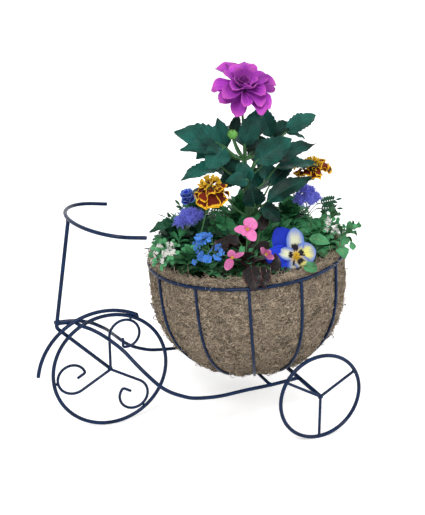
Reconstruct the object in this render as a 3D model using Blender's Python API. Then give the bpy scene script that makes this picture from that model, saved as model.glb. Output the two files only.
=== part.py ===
"""Tricycle planter of welded wire rod with a lined round basket and its planting.

Metres, +Z up. The front wheel is towards -X and the near side, with the fork's free side, is -Y.
Places are worked out from the front hub, and the whole object is then moved so that its box
stands on Z = 0 and is centred on X = 0 and Y = 0.
"""

from math import acos, atan2, cos, hypot, pi, radians, sin, sqrt, tan

import bmesh
import bpy
from mathutils import Matrix, Vector

MM = 0.001

# Rod stock.
ROD_DIAMETER = 5.0 * MM
SPOKE_DIAMETER = 3.6 * MM
AXLE_DIAMETER = 6.0 * MM
CROSS_BAR_DIAMETER = 4.5 * MM
BASKET_RING_DIAMETER = 4.5 * MM
RIB_DIAMETER = 3.8 * MM
WELD_GAP = 0.3 * MM

# Front wheel, fork and mudguard arc, in the wheel's plane.
FRONT_RIM_RADIUS = 88.0 * MM
SCROLL_RADIUS = 24.8 * MM
SCROLL_END_RADIUS = 20.5 * MM
SCROLL_TAIL_LENGTH = 15.0 * MM
SCROLL_TAIL_BEND = 3.5 * MM
ARC_RADIUS = 103.5 * MM
ARC_LEAN = radians(50.0)
ARC_TOUCH = radians(60.0)
ARC_END = radians(172.0)
SPOKE_COUNT = 3
FIRST_SPOKE = radians(90.0)

# Stem, crown and handlebar.
CROWN_AHEAD = 77.5 * MM
CROWN_HEIGHT = 167.5 * MM
CROWN_BEND = 9.0 * MM
STEM_TOP_AHEAD = 52.0 * MM
HANDLEBAR_HEIGHT = 329.5 * MM
HANDLEBAR_HALF_WIDTH = 97.0 * MM
HANDLEBAR_BOW = 63.0 * MM
HANDLEBAR_GRIP = 22.0 * MM
HANDLEBAR_FALL = radians(7.5)

# Rear axle and wheels.
WHEELBASE = 270.7 * MM
REAR_RIM_RADIUS = 64.9 * MM
REAR_WHEEL_BESIDE_BASKET = 14.7 * MM
FIRST_REAR_SPOKE = radians(-90.0)

# Side rails.
RAIL_CROWN_HEIGHT = 174.0 * MM
RAIL_LOW_HEIGHT = 60.8 * MM
RAIL_HALF_SPREAD = 95.8 * MM
RAIL_STEM_OVERRUN = 6.0 * MM
CROSS_BAR_BEFORE_AXLE = 48.0 * MM
# Run from stem to axle, spread from the middle and height above the lowest stretch.
RAIL_SHARES = (
    (0.000, 0.000, 1.000),
    (0.040, 0.000, 0.993),
    (0.066, 0.004, 0.985),
    (0.086, 0.115, 0.962),
    (0.126, 0.165, 0.910),
    (0.164, 0.247, 0.845),
    (0.206, 0.340, 0.749),
    (0.244, 0.470, 0.645),
    (0.275, 0.630, 0.533),
    (0.309, 0.780, 0.415),
    (0.361, 0.900, 0.252),
    (0.406, 0.940, 0.155),
    (0.454, 0.968, 0.086),
    (0.501, 0.990, 0.038),
    (0.570, 1.000, 0.010),
    (0.640, 1.000, 0.000),
    (0.752, 1.000, 0.017),
    (0.872, 1.000, 0.026),
    (1.000, 1.000, 0.058),
)

# Basket of ring, ribs and foot ring, about its own tilted axis.
BASKET_DEPTH = 176.0 * MM
BASKET_CENTRE_BEFORE_AXLE = 48.1 * MM
BASKET_FRONT_BEHIND_HUB = 72.6 * MM
BASKET_FLOOR_SHARE = 0.43333333
BASKET_SIDE_POWER = 3.2
BASKET_FLOOR_POWER = 1.25
FOOT_RING_SHARE = 0.24
RIB_COUNT = 12
FIRST_RIB = radians(-82.5)

# Liner and soil.
LINER_CLEARANCE = 0.5 * MM
LINER_THICKNESS = 10.0 * MM
LINER_STAND = 13.0 * MM
SOIL_CLEARANCE = 0.3 * MM
SOIL_BELOW_RING = 7.0 * MM

# Dahlia, in the basket's frame from the ring's centre, +X towards the rear axle. The sizes of all
# the plants are those that fill a basket of this radius, and follow the basket's own radius.
FILLED_BASKET_RADIUS = 150.0 * MM
PLANT_HEIGHT = 285.0 * MM
PLANT_CLEARANCE = 0.3 * MM
DAHLIA_STEM_DIAMETER = 7.0 * MM
DAHLIA_BLOOM_RADIUS = 47.0 * MM
DAHLIA_BUD_RADIUS = 7.0 * MM
LEAF_THICKNESS = 2.0 * MM
LEAF_FOLD = radians(16.0)
PETIOLE_DIAMETER = 3.4 * MM
STEM_SHARES = ((0.022, 0.0, 0.0), (0.030, 0.0, 0.30), (0.036, 0.0, 0.56), (0.040, 0.0, 0.868))
STEM_TAPER_SHARES = (1.0, 0.9, 0.75, 0.6)
PETIOLE_REACH_SHARE = 0.12
# A leaf that hangs at more than this angle to its stalk starts at the stalk's end.
PETIOLE_BEND = radians(70.0)
BLOOM_AIM = (0.08, -0.62, 0.80)
# Radius, height, petal depth and turn (of one petal) for each ring of the bloom's surface.
BLOOM_RING_SHARES = (
    (0.22, 0.10, 0.00, 0.0),
    (0.62, 0.16, 0.12, 0.0),
    (1.00, 0.26, 0.24, 0.0),
    (0.99, 0.34, 0.24, 0.0),
    (0.74, 0.42, 0.10, 0.5),
    (0.86, 0.47, 0.24, 0.5),
    (0.82, 0.55, 0.24, 0.5),
    (0.50, 0.60, 0.10, 0.0),
    (0.60, 0.66, 0.24, 0.0),
    (0.54, 0.73, 0.24, 0.0),
    (0.24, 0.72, 0.10, 0.5),
    (0.12, 0.64, 0.00, 0.0),
)
BUD_KNOT_SHARES = (0.035, 0.0, 0.515)
BUD_SHARES = (-0.042, -0.040, 0.662)
# Leaf's foot and leaf's tip as (across, back, up) shares of the plant height, the leaf's half width
# as a share of its own length, and how far its upper side faces the near side.
LEAF_SHARES = (
    ((0.025, -0.028, 0.593), (0.110, -0.042, 0.778), 0.24, 0.8),
    ((0.207, 0.035, 0.597), (0.164, 0.070, 0.784), 0.22, 0.7),
    ((0.294, 0.028, 0.613), (0.489, 0.053, 0.672), 0.22, 0.6),
    ((0.058, -0.077, 0.510), (0.262, -0.105, 0.608), 0.28, 0.8),
    ((0.120, -0.040, 0.480), (0.422, -0.053, 0.545), 0.16, 0.5),
    ((0.164, 0.000, 0.345), (0.346, 0.035, 0.453), 0.19, 0.6),
    ((0.200, -0.018, 0.440), (0.440, 0.000, 0.412), 0.14, 0.4),
    ((0.094, -0.100, 0.291), (0.350, -0.140, 0.390), 0.18, 0.5),
    ((0.027, -0.105, 0.284), (0.007, -0.119, 0.407), 0.44, 0.9),
    ((-0.052, 0.030, 0.584), (-0.085, 0.045, 0.746), 0.22, 0.8),
    ((-0.003, 0.042, 0.629), (0.036, 0.056, 0.746), 0.23, 0.6),
    ((-0.081, 0.000, 0.606), (-0.335, 0.018, 0.711), 0.25, 0.7),
    ((-0.105, -0.035, 0.592), (-0.335, -0.049, 0.633), 0.20, 0.5),
    ((-0.100, -0.063, 0.610), (-0.224, -0.105, 0.528), 0.39, 0.8),
    ((-0.128, -0.042, 0.511), (-0.353, -0.070, 0.484), 0.18, 0.5),
    ((-0.002, -0.105, 0.431), (-0.138, -0.133, 0.452), 0.28, 0.7),
    ((-0.120, -0.018, 0.630), (-0.247, -0.028, 0.568), 0.31, 0.6),
    ((0.223, 0.053, 0.594), (0.341, 0.070, 0.656), 0.30, 0.6),
    ((0.061, 0.035, 0.555), (0.191, 0.053, 0.590), 0.31, 0.5),
    ((0.102, 0.000, 0.482), (0.202, 0.014, 0.375), 0.31, 0.7),
    ((-0.016, 0.024, 0.534), (-0.090, 0.045, 0.440), 0.31, 0.7),
    ((0.024, -0.035, 0.500), (-0.015, -0.049, 0.370), 0.33, 0.8),
    ((0.060, 0.020, 0.460), (0.120, 0.040, 0.330), 0.33, 0.7),
    ((0.010, 0.020, 0.430), (-0.110, 0.060, 0.370), 0.29, 0.6),
    ((0.050, 0.060, 0.400), (-0.150, 0.120, 0.480), 0.26, 0.3),
    ((0.080, 0.090, 0.560), (0.060, 0.300, 0.640), 0.26, 0.0),
    ((-0.040, 0.080, 0.500), (-0.200, 0.260, 0.560), 0.26, 0.0),
    ((0.120, 0.080, 0.470), (0.300, 0.240, 0.530), 0.26, 0.0),
    ((0.030, 0.090, 0.360), (0.000, 0.310, 0.420), 0.28, 0.0),
    ((0.150, 0.060, 0.610), (0.240, 0.190, 0.690), 0.26, 0.1),
    ((-0.060, 0.060, 0.600), (-0.160, 0.170, 0.690), 0.26, 0.1),
)
# How far a leaf that faces the near side leans that way: across, back and up.
LEAF_LEAN_SHARES = (-0.35, -1.0, -0.75)
# Heights of the knots on the stem that the leaf stalks leave, and their least rise to a leaf's foot.
KNOT_SHARES = (0.20, 0.32, 0.42, 0.51)
KNOT_BELOW_SHARE = 0.03
# Widths along a leaf, from foot to tip, with how far the leaf sags there.
LEAF_WIDTH_SHARES = ((0.0, 0.14, 0.0), (0.18, 0.80, 0.03), (0.42, 1.0, 0.05),
                     (0.75, 0.64, 0.045), (1.0, 0.10, 0.0))

# Foliage round the dahlia: tufts on the soil that spill over the liner's edge.
TUFT_RADIUS = 35.0 * MM
TUFT_RING_RADIUS = 96.0 * MM
TUFT_OVERHANG = 17.0 * MM
TUFT_RISE = 40.0 * MM
FIRST_TUFT = radians(-157.5)
# Name, rise above the liner's edge and lean outwards as shares of the rise and the overhang.
TUFT_SHARES = (
    ("alyssum_tuft_left", 0.42, 1.00),
    ("begonia_tuft", 0.50, 0.90),
    ("pansy_tuft", 0.22, 0.30),
    ("alyssum_tuft_right", 0.13, 0.90),
    ("ageratum_tuft_right", 0.80, 0.80),
    ("grass_tuft_right", 0.92, 0.60),
    ("grass_tuft_left", 1.00, 0.60),
    ("ageratum_tuft_left", 0.92, 0.80),
)
# Rise, radius and lean of each ring of a tuft above the liner's edge.
TUFT_FOOT_SHARE = 0.72
TUFT_NECK_SHARE = 0.2
TUFT_DEPTH_SHARE = 0.16
TUFT_TURN_SHARE = 0.37
TUFT_TOP_SHARE = 0.40
TUFT_RING_SHARES = ((0.25, 1.12, 0.85), (0.60, 1.05, 1.0), (0.88, 0.78, 1.0),
                    (1.0, TUFT_TOP_SHARE, 1.0))

# Flowers that stand on the tufts: the kind, the tuft, the foot on its flat top as shares of the
# top's radius, the head as shares of the plant height and the way it faces.
FLOWER_SHARES = (
    ("marigold_left", "marigold", "alyssum_tuft_left", (0.6, 0.3), (-0.240, -0.193, 0.445),
     (-0.25, -0.5, 0.85)),
    ("alyssum_left", "alyssum", "alyssum_tuft_left", (-0.6, -0.3), (-0.495, -0.200, 0.178),
     (-0.5, -0.3, 0.8)),
    ("lobelia_blooms", "lobelia", "begonia_tuft", (-0.6, 0.5), (-0.345, -0.322, 0.208),
     (-0.4, -0.5, 0.7)),
    ("begonia_upper", "begonia", "begonia_tuft", (0.5, 0.5), (-0.126, -0.351, 0.270),
     (0.0, -0.7, 0.7)),
    ("begonia_left", "begonia", "begonia_tuft", (-0.6, -0.4), (-0.235, -0.470, 0.175),
     (-0.3, -0.8, 0.5)),
    ("begonia_right", "begonia", "begonia_tuft", (0.6, -0.4), (-0.075, -0.480, 0.165),
     (0.2, -0.8, 0.5)),
    ("pansy_bloom", "pansy", "pansy_tuft", (0.0, 0.0), (0.094, -0.445, 0.145),
     (0.0, -0.75, 0.6)),
    ("alyssum_right", "alyssum", "alyssum_tuft_right", (0.5, -0.4), (0.444, -0.211, 0.110),
     (0.5, -0.4, 0.8)),
    ("ageratum_right", "ageratum", "alyssum_tuft_right", (-0.4, 0.5), (0.348, -0.070, 0.269),
     (0.3, -0.4, 0.9)),
    ("marigold_right", "marigold", "ageratum_tuft_right", (0.3, 0.0), (0.464, 0.065, 0.385),
     (0.25, -0.15, 0.95)),
    ("ageratum_left", "ageratum", "ageratum_tuft_left", (-0.4, -0.5), (-0.292, 0.030, 0.255),
     (-0.4, -0.4, 0.8)),
    ("viola_bud", "viola", "ageratum_tuft_left", (0.5, 0.2), (-0.272, 0.090, 0.355),
     (-0.3, -0.2, 0.9)),
)
FLOWER_STEM_DIAMETER = 3.0 * MM
NECK_SHARE = 0.15
KNEE_SHARE = 0.55
MARIGOLD_RADIUS = 23.0 * MM
AGERATUM_RADIUS = 17.0 * MM
VIOLA_RADIUS = 12.0 * MM
LOBELIA_RADIUS = 11.0 * MM
ALYSSUM_RADIUS = 22.0 * MM
BEGONIA_RADIUS = 17.0 * MM
PANSY_RADIUS = 31.0 * MM

# Radius and height of each ring of a head as shares of its radius, then its lobes and depth.
PUFF_SHARES = ((0.30, -0.34), (0.85, -0.16), (1.00, 0.08), (0.78, 0.40), (0.32, 0.56))
DISC_SHARES = ((0.20, -0.16), (0.62, -0.06), (1.00, 0.04), (0.97, 0.14), (0.40, 0.08))
CUP_SHARES = ((0.35, -0.80), (0.80, -0.40), (1.00, 0.30), (0.62, 0.80), (0.25, 0.90))
KIND_SHARES = {
    "marigold": (PUFF_SHARES, 7, 0.16),
    "alyssum": (PUFF_SHARES, 6, 0.14),
    "lobelia": (PUFF_SHARES, 5, 0.22),
    "begonia": (DISC_SHARES, 4, 0.22),
    "pansy": (DISC_SHARES, 5, 0.16),
    "ageratum": (PUFF_SHARES, 7, 0.12),
    "viola": (CUP_SHARES, 5, 0.16),
}
BUD_RING_SHARES = (0.10, 0.30, 0.55, 0.80, 0.94)

# Facets.
BLOOM_STEPS = 40
BLOOM_PETALS = 10
TUFT_STEPS = 15
TUFT_LOBES = 5
HEAD_STEPS_PER_LOBE = 2
BUD_STEPS = 10
ROD_SIDES = 8
THIN_SIDES = 6
RIM_STEPS = 36
RING_STEPS = 48
BOWL_STEPS = 36

FRAME_COLOUR = (0.012, 0.016, 0.045, 1.0)
FIBRE_COLOUR = (0.36, 0.22, 0.11, 1.0)
SOIL_COLOUR = (0.035, 0.022, 0.014, 1.0)
DAHLIA_COLOUR = (0.55, 0.02, 0.42, 1.0)
DARK_LEAF_COLOUR = (0.012, 0.07, 0.035, 1.0)
LIGHT_LEAF_COLOUR = (0.05, 0.2, 0.05, 1.0)
BUD_COLOUR = (0.12, 0.32, 0.05, 1.0)
BRONZE_LEAF_COLOUR = (0.05, 0.02, 0.03, 1.0)
MARIGOLD_COLOUR = (0.75, 0.3, 0.01, 1.0)
AGERATUM_COLOUR = (0.12, 0.1, 0.6, 1.0)
VIOLA_COLOUR = (0.05, 0.08, 0.5, 1.0)
LOBELIA_COLOUR = (0.05, 0.16, 0.7, 1.0)
ALYSSUM_COLOUR = (0.85, 0.86, 0.84, 1.0)
BEGONIA_COLOUR = (0.75, 0.18, 0.42, 1.0)
PANSY_COLOUR = (0.35, 0.35, 0.75, 1.0)

# Derived places.
ROD_RADIUS = ROD_DIAMETER / 2
SPOKE_RADIUS = SPOKE_DIAMETER / 2
AXLE_RADIUS = AXLE_DIAMETER / 2
CROSS_BAR_RADIUS = CROSS_BAR_DIAMETER / 2
BASKET_RING_ROD_RADIUS = BASKET_RING_DIAMETER / 2
RIB_RADIUS = RIB_DIAMETER / 2
ROD_PITCH = ROD_DIAMETER + WELD_GAP
CROSS_BAR_BEHIND = WHEELBASE - CROSS_BAR_BEFORE_AXLE
BASKET_CENTRE_BEHIND = WHEELBASE - BASKET_CENTRE_BEFORE_AXLE
BASKET_RADIUS = BASKET_CENTRE_BEHIND - BASKET_FRONT_BEHIND_HUB
REAR_HALF_TRACK = BASKET_RADIUS + REAR_WHEEL_BESIDE_BASKET
BASKET_FLOOR_RADIUS = BASKET_RADIUS * BASKET_FLOOR_SHARE
FOOT_RING_RADIUS = BASKET_RADIUS * FOOT_RING_SHARE
PLANT_FIT = BASKET_RADIUS / FILLED_BASKET_RADIUS

ROD_FLAT = ROD_RADIUS * cos(pi / ROD_SIDES)
RIM_FLAT_SHARE = cos(pi / RIM_STEPS)
FRONT_HUB_HEIGHT = (FRONT_RIM_RADIUS + ROD_FLAT) * RIM_FLAT_SHARE
FRONT_PLANE = -ROD_PITCH
SCROLL_PLANE = -(ROD_RADIUS + WELD_GAP + SPOKE_RADIUS)
SOIL_LEVEL = BASKET_DEPTH - SOIL_BELOW_RING
PLANTING_LEVEL = SOIL_LEVEL + PLANT_CLEARANCE
EDGE_LEVEL = BASKET_DEPTH + LINER_STAND + PLANT_CLEARANCE
REAR_HUB_HEIGHT = (REAR_RIM_RADIUS + ROD_FLAT) * RIM_FLAT_SHARE
CROWN = Vector((-CROWN_AHEAD, 0, CROWN_HEIGHT))
STEM_TOP = Vector((-STEM_TOP_AHEAD, 0, HANDLEBAR_HEIGHT))
FRONT_HUB = Vector((0, 0, FRONT_HUB_HEIGHT))

FLOWER_KINDS = {
    "marigold": (MARIGOLD_RADIUS, MARIGOLD_COLOUR),
    "alyssum": (ALYSSUM_RADIUS, ALYSSUM_COLOUR),
    "lobelia": (LOBELIA_RADIUS, LOBELIA_COLOUR),
    "begonia": (BEGONIA_RADIUS, BEGONIA_COLOUR),
    "pansy": (PANSY_RADIUS, PANSY_COLOUR),
    "ageratum": (AGERATUM_RADIUS, AGERATUM_COLOUR),
    "viola": (VIOLA_RADIUS, VIOLA_COLOUR),
}

OBJECT_ROOT = "planter_origin"
BASKET_ROOT = "basket_axis"


def clear_scene():
    for thing in list(bpy.data.objects):
        bpy.data.objects.remove(thing, do_unlink=True)


def finish_of(name, colour, roughness=0.6, metallic=0.0):
    """One Principled material, made once for each name."""
    material = bpy.data.materials.get(name)
    if material is None:
        material = bpy.data.materials.new(name)
        material.use_nodes = True
        shader = material.node_tree.nodes["Principled BSDF"]
        shader.inputs["Base Color"].default_value = colour
        shader.inputs["Roughness"].default_value = roughness
        shader.inputs["Metallic"].default_value = metallic
        material.diffuse_color = colour
    return material


def frame_finish():
    return finish_of("powder_coated_rod", FRAME_COLOUR, 0.35, 0.4)


def empty(name, parent=None):
    holder = bpy.data.objects.new(name, None)
    bpy.context.collection.objects.link(holder)
    holder.parent = parent
    return holder


def object_of(name, data, material, parent):
    """A node of the given mesh or curve, with its material, under a parent empty."""
    data.materials.append(material)
    node = bpy.data.objects.new(name, data)
    bpy.context.collection.objects.link(node)
    node.parent = parent
    return node


def node_from_bmesh(name, bm, material, parent, smooth=True):
    bmesh.ops.recalc_face_normals(bm, faces=bm.faces)
    mesh = bpy.data.meshes.new(name)
    bm.to_mesh(mesh)
    bm.free()
    if smooth:
        mesh.shade_smooth()
    return object_of(name, mesh, material, parent)


def frame_at(point, direction, side):
    """A matrix at a point with Z along the direction and X as near to side as it goes."""
    along = Vector(direction).normalized()
    across = Vector(side) - along * Vector(side).dot(along)
    across.normalize()
    other = along.cross(across)
    turn = Matrix((across, other, along)).transposed().to_4x4()
    turn.translation = point
    return turn


def loop_at(bm, place, radius, sides):
    """A ring of vertices round a place, with a flat towards its X axis."""
    angles = [2 * pi * (k + 0.5) / sides for k in range(sides)]
    return [bm.verts.new(place @ Vector((radius * cos(a), radius * sin(a), 0))) for a in angles]


def skin(bm, first, second):
    count = len(first)
    for k in range(count):
        after = (k + 1) % count
        bm.faces.new((first[k], first[after], second[after], second[k]))


def add_rod(bm, points, radius, sides, side, closed=False):
    """A round rod swept along points; radius is one number or one for each point."""
    points = [Vector(p) for p in points]
    count = len(points)
    radii = radius if isinstance(radius, (list, tuple)) else [radius] * count
    loops = []
    for k, point in enumerate(points):
        if closed:
            before, after = points[k - 1], points[(k + 1) % count]
        else:
            before, after = points[max(k - 1, 0)], points[min(k + 1, count - 1)]
        loops.append(loop_at(bm, frame_at(point, after - before, side), radii[k], sides))
    for k in range(count - 1):
        skin(bm, loops[k], loops[k + 1])
    if closed:
        skin(bm, loops[-1], loops[0])
    else:
        bm.faces.new(loops[0][::-1])
        bm.faces.new(loops[-1])


def rod(name, points, radius, side, parent, sides=ROD_SIDES, material=None, closed=False):
    bm = bmesh.new()
    add_rod(bm, points, radius, sides, side, closed)
    return node_from_bmesh(name, bm, material or frame_finish(), parent)


def rounded(points, bend, steps=4):
    """The polyline with each inner corner turned on an arc of the bend radius."""
    points = [Vector(p) for p in points]
    out = [points[0]]
    for before, corner, after in zip(points, points[1:], points[2:]):
        back, ahead = (before - corner).normalized(), (after - corner).normalized()
        half = acos(max(-1.0, min(1.0, back.dot(ahead)))) / 2
        reach = bend / tan(half)
        centre = corner + (back + ahead).normalized() * (bend / sin(half))
        start, end = corner + back * reach - centre, corner + ahead * reach - centre
        sweep = start.angle(end)
        for k in range(steps + 1):
            share = k / steps
            mix = start * sin((1 - share) * sweep) + end * sin(share * sweep)
            out.append(centre + mix / sin(sweep))
    return out + [points[-1]]


def smooth_path(points, steps):
    """A Catmull-Rom curve through the points."""
    points = [Vector(p) for p in points]
    ends = [2 * points[0] - points[1]] + points + [2 * points[-1] - points[-2]]
    out = []
    for a, b, c, d in zip(ends, ends[1:], ends[2:], ends[3:]):
        for k in range(steps):
            t = k / steps
            out.append(0.5 * ((2 * b) + (c - a) * t + (2 * a - 5 * b + 4 * c - d) * t * t
                              + (3 * b - a - 3 * c + d) * t ** 3))
    return out + [points[-1]]


def ring_points(centre, radius, first, second, steps):
    """Corners of a ring that has a flat straight down its second axis."""
    angles = [2 * pi * (k + 0.5) / steps for k in range(steps)]
    return [centre + (first * sin(a) - second * cos(a)) * radius for a in angles]


def turned(name, profile, steps, material, parent):
    """A closed solid turned about the local Z axis from (radius, height) points."""
    bm = bmesh.new()
    loops = []
    for radius, height in profile:
        if radius == 0:
            loops.append([bm.verts.new((0, 0, height))])
            continue
        angles = [2 * pi * k / steps for k in range(steps)]
        loops.append([bm.verts.new((radius * cos(a), radius * sin(a), height)) for a in angles])
    for first, second in zip(loops, loops[1:]):
        if len(first) == 1 or len(second) == 1:
            tip, rim = (first[0], second) if len(first) == 1 else (second[0], first)
            for k in range(steps):
                bm.faces.new((tip, rim[k], rim[(k + 1) % steps]))
        else:
            skin(bm, first, second)
    if len(loops[0]) > 1 and len(loops[-1]) > 1:
        skin(bm, loops[-1], loops[0])
    return node_from_bmesh(name, bm, material, parent)


def wheel_point(hub, angle, distance, plane):
    return Vector((hub.x + distance * cos(angle), plane, hub.z + distance * sin(angle)))


def rim(name, hub, radius, plane, parent):
    """A wheel rim whose lowest flat lies level, on the ground."""
    centre = Vector((hub.x, plane, hub.z))
    points = ring_points(centre, radius, Vector((1, 0, 0)), Vector((0, 0, 1)), RIM_STEPS)
    return rod(name, points, ROD_RADIUS, (0, 1, 0), parent, closed=True)


def spoke_start():
    """How far from the hub three spokes can begin and stay clear of each other."""
    half_angle = pi / SPOKE_COUNT
    return (SPOKE_RADIUS + WELD_GAP / 2) / tan(half_angle) + WELD_GAP


def scroll_path(angle):
    """A leg out from the hub, a curl that touches the rim inside and a bent-in tail."""
    reach = FRONT_RIM_RADIUS - ROD_RADIUS - WELD_GAP - SPOKE_RADIUS - SCROLL_RADIUS
    leg = sqrt(reach ** 2 - SCROLL_RADIUS ** 2)
    path = [Vector((spoke_start(), 0)), Vector((leg / 2, 0))]
    turns, sweep = 13, radians(262.0)
    for k in range(turns + 1):
        share = k / turns
        radius = SCROLL_RADIUS + (SCROLL_END_RADIUS - SCROLL_RADIUS) * share
        a = -pi / 2 + sweep * share
        path.append(Vector((leg + radius * cos(a), SCROLL_RADIUS + radius * sin(a))))
    down = Vector((path[-1].x, path[-1].y - 2 * SCROLL_TAIL_BEND))
    tail = rounded([path[-1].to_3d(), down.to_3d(),
                    (down + Vector((SCROLL_TAIL_LENGTH, 0))).to_3d()], SCROLL_TAIL_BEND, 3)
    path += [p.to_2d() for p in tail[2:]]
    out = []
    for p in path:
        along = Vector((cos(angle), sin(angle)))
        across = Vector((sin(angle), -cos(angle)))
        flat = along * p.x + across * p.y
        out.append(Vector((FRONT_HUB.x + flat.x, SCROLL_PLANE, FRONT_HUB.z + flat.y)))
    return out


def build_front(parent):
    rim("front_wheel_rim", FRONT_HUB, FRONT_RIM_RADIUS, FRONT_PLANE, parent)
    for k in range(SPOKE_COUNT):
        angle = FIRST_SPOKE + 2 * pi * k / SPOKE_COUNT
        rod(f"scroll_spoke_{k + 1}", scroll_path(angle), SPOKE_RADIUS, (0, 1, 0), parent,
            THIN_SIDES)
    steps = 18
    chord_share = cos((ARC_END - ARC_TOUCH) / steps / 2)
    offset = (ARC_RADIUS * chord_share - FRONT_RIM_RADIUS - ROD_PITCH) / cos(ARC_TOUCH - ARC_LEAN)
    centre = wheel_point(FRONT_HUB, ARC_LEAN + pi, offset, FRONT_PLANE)
    arc = [wheel_point(centre, ARC_TOUCH + (ARC_END - ARC_TOUCH) * k / steps, ARC_RADIUS,
                       FRONT_PLANE) for k in range(steps + 1)]
    rod("mudguard_arc", arc, ROD_RADIUS, (0, 1, 0), parent)


def build_steering(parent):
    """The stem and fork as one bent rod, and the handlebar across its top."""
    lean = atan2(CROWN_AHEAD - STEM_TOP_AHEAD, HANDLEBAR_HEIGHT - CROWN_HEIGHT)
    top = STEM_TOP - Vector((0, 0, ROD_RADIUS * (1 + sin(lean)) + WELD_GAP))
    rod("stem_and_fork", rounded([top, CROWN, FRONT_HUB], CROWN_BEND, 5), ROD_RADIUS,
        (0, 1, 0), parent)
    steps = 16
    bar = []
    for k in range(steps + 1):
        a = pi / 2 + pi * k / steps
        bar.append((HANDLEBAR_BOW * (1 + cos(a)), HANDLEBAR_HALF_WIDTH * sin(a)))
    grip = HANDLEBAR_BOW + HANDLEBAR_GRIP
    bar = [(grip, HANDLEBAR_HALF_WIDTH)] + bar + [(grip, -HANDLEBAR_HALF_WIDTH)]
    points = [STEM_TOP + Vector((back * cos(HANDLEBAR_FALL), across,
                                 -back * sin(HANDLEBAR_FALL))) for back, across in bar]
    rod("handlebar", points, ROD_RADIUS, (0, 0, 1), parent)


def rail_points(near):
    """A side rail: side by side with its mate at the stem, then out and down to the axle."""
    stem_run = (HANDLEBAR_HEIGHT - RAIL_CROWN_HEIGHT) / (HANDLEBAR_HEIGHT - CROWN_HEIGHT)
    stem_x = -(STEM_TOP_AHEAD + (CROWN_AHEAD - STEM_TOP_AHEAD) * stem_run)
    start = stem_x + ROD_PITCH / 2 + WELD_GAP * 3
    end = WHEELBASE - AXLE_RADIUS - WELD_GAP
    points = []
    for run, spread, height in RAIL_SHARES:
        aside = RAIL_HALF_SPREAD * spread
        aside = -aside if near else max(aside, ROD_PITCH + WELD_GAP)
        level = RAIL_LOW_HEIGHT + (RAIL_CROWN_HEIGHT - RAIL_LOW_HEIGHT) * height
        points.append(Vector((start + (end - start) * run, aside, level)))
    points[-1].z = REAR_HUB_HEIGHT
    if not near:
        points[0].x = stem_x - RAIL_STEM_OVERRUN / 2
    return smooth_path(points, 2)


def height_on(path, x):
    """The height of a path at a place along X."""
    for a, b in zip(path, path[1:]):
        if a.x <= x <= b.x:
            return a.z + (b.z - a.z) * (x - a.x) / (b.x - a.x)
    return path[-1].z


def build_chassis(parent):
    """The two side rails and the cross bar; the bar's height is given back."""
    near, far = rail_points(True), rail_points(False)
    rod("near_side_rail", near, ROD_RADIUS, (0, 0, 1), parent)
    rod("far_side_rail", far, ROD_RADIUS, (0, 0, 1), parent)
    level = height_on(near, CROSS_BAR_BEHIND)
    reach = RAIL_HALF_SPREAD - ROD_RADIUS - WELD_GAP
    bar = [(CROSS_BAR_BEHIND, -reach, level), (CROSS_BAR_BEHIND, reach, level)]
    rod("cross_bar", bar, CROSS_BAR_RADIUS, (0, 0, 1), parent)
    return level


def build_rear(parent):
    hub = Vector((WHEELBASE, 0, REAR_HUB_HEIGHT))
    reach = REAR_HALF_TRACK - SPOKE_RADIUS - WELD_GAP
    rod("rear_axle", [hub - Vector((0, reach, 0)), hub + Vector((0, reach, 0))], AXLE_RADIUS,
        (0, 0, 1), parent)
    for word, side in (("near", -1), ("far", 1)):
        plane = side * REAR_HALF_TRACK
        rim(f"{word}_rear_rim", hub, REAR_RIM_RADIUS, plane, parent)
        end = REAR_RIM_RADIUS - ROD_RADIUS - WELD_GAP
        for k in range(SPOKE_COUNT):
            angle = FIRST_REAR_SPOKE + 2 * pi * k / SPOKE_COUNT
            spoke = [wheel_point(hub, angle, r, plane) for r in (spoke_start(), end)]
            rod(f"{word}_rear_spoke_{k + 1}", spoke, SPOKE_RADIUS, (0, 1, 0), parent,
                THIN_SIDES)


def place_basket(bar_level, parent):
    """The basket's axis: its floor lies on the cross bar and on the higher rear axle."""
    on_bar = bar_level + CROSS_BAR_RADIUS + WELD_GAP + RIB_RADIUS
    on_axle = REAR_HUB_HEIGHT + AXLE_RADIUS + WELD_GAP + RIB_RADIUS
    tilt = atan2(on_axle - on_bar, WHEELBASE - CROSS_BAR_BEHIND)
    axis = empty(BASKET_ROOT, parent)
    foot_x = BASKET_CENTRE_BEHIND + BASKET_DEPTH * sin(tilt)
    foot_z = on_bar / cos(tilt) + (foot_x - CROSS_BAR_BEHIND) * tan(tilt)
    axis.location = (foot_x, 0, foot_z)
    axis.rotation_euler = (0, -tilt, 0)
    return axis


def bowl_radius(below):
    """The rib's distance from the axis at a depth below the ring."""
    share = min(1.0, below / BASKET_DEPTH)
    side = (1 - share ** BASKET_SIDE_POWER) ** (1 / BASKET_FLOOR_POWER)
    return BASKET_FLOOR_RADIUS + (BASKET_RADIUS - BASKET_FLOOR_RADIUS) * side


def bowl_profile(steps=9):
    """(radius, height) of the rib from the ring down to the floor, closer set near the floor."""
    out = []
    for k in range(steps + 1):
        below = BASKET_DEPTH * sin(pi / 2 * k / steps)
        out.append((bowl_radius(below), BASKET_DEPTH - below))
    return out


def inset_profile(profile, inset):
    """The profile moved inwards, square to itself."""
    out = []
    befores = profile[:1] + profile
    afters = profile[1:] + profile[-1:]
    for (r0, h0), (radius, height), (r1, h1) in zip(befores, profile, afters):
        run, fall = r0 - r1, h0 - h1
        size = hypot(run, fall)
        out.append((radius - inset * fall / size, height + inset * run / size))
    return out


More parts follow.
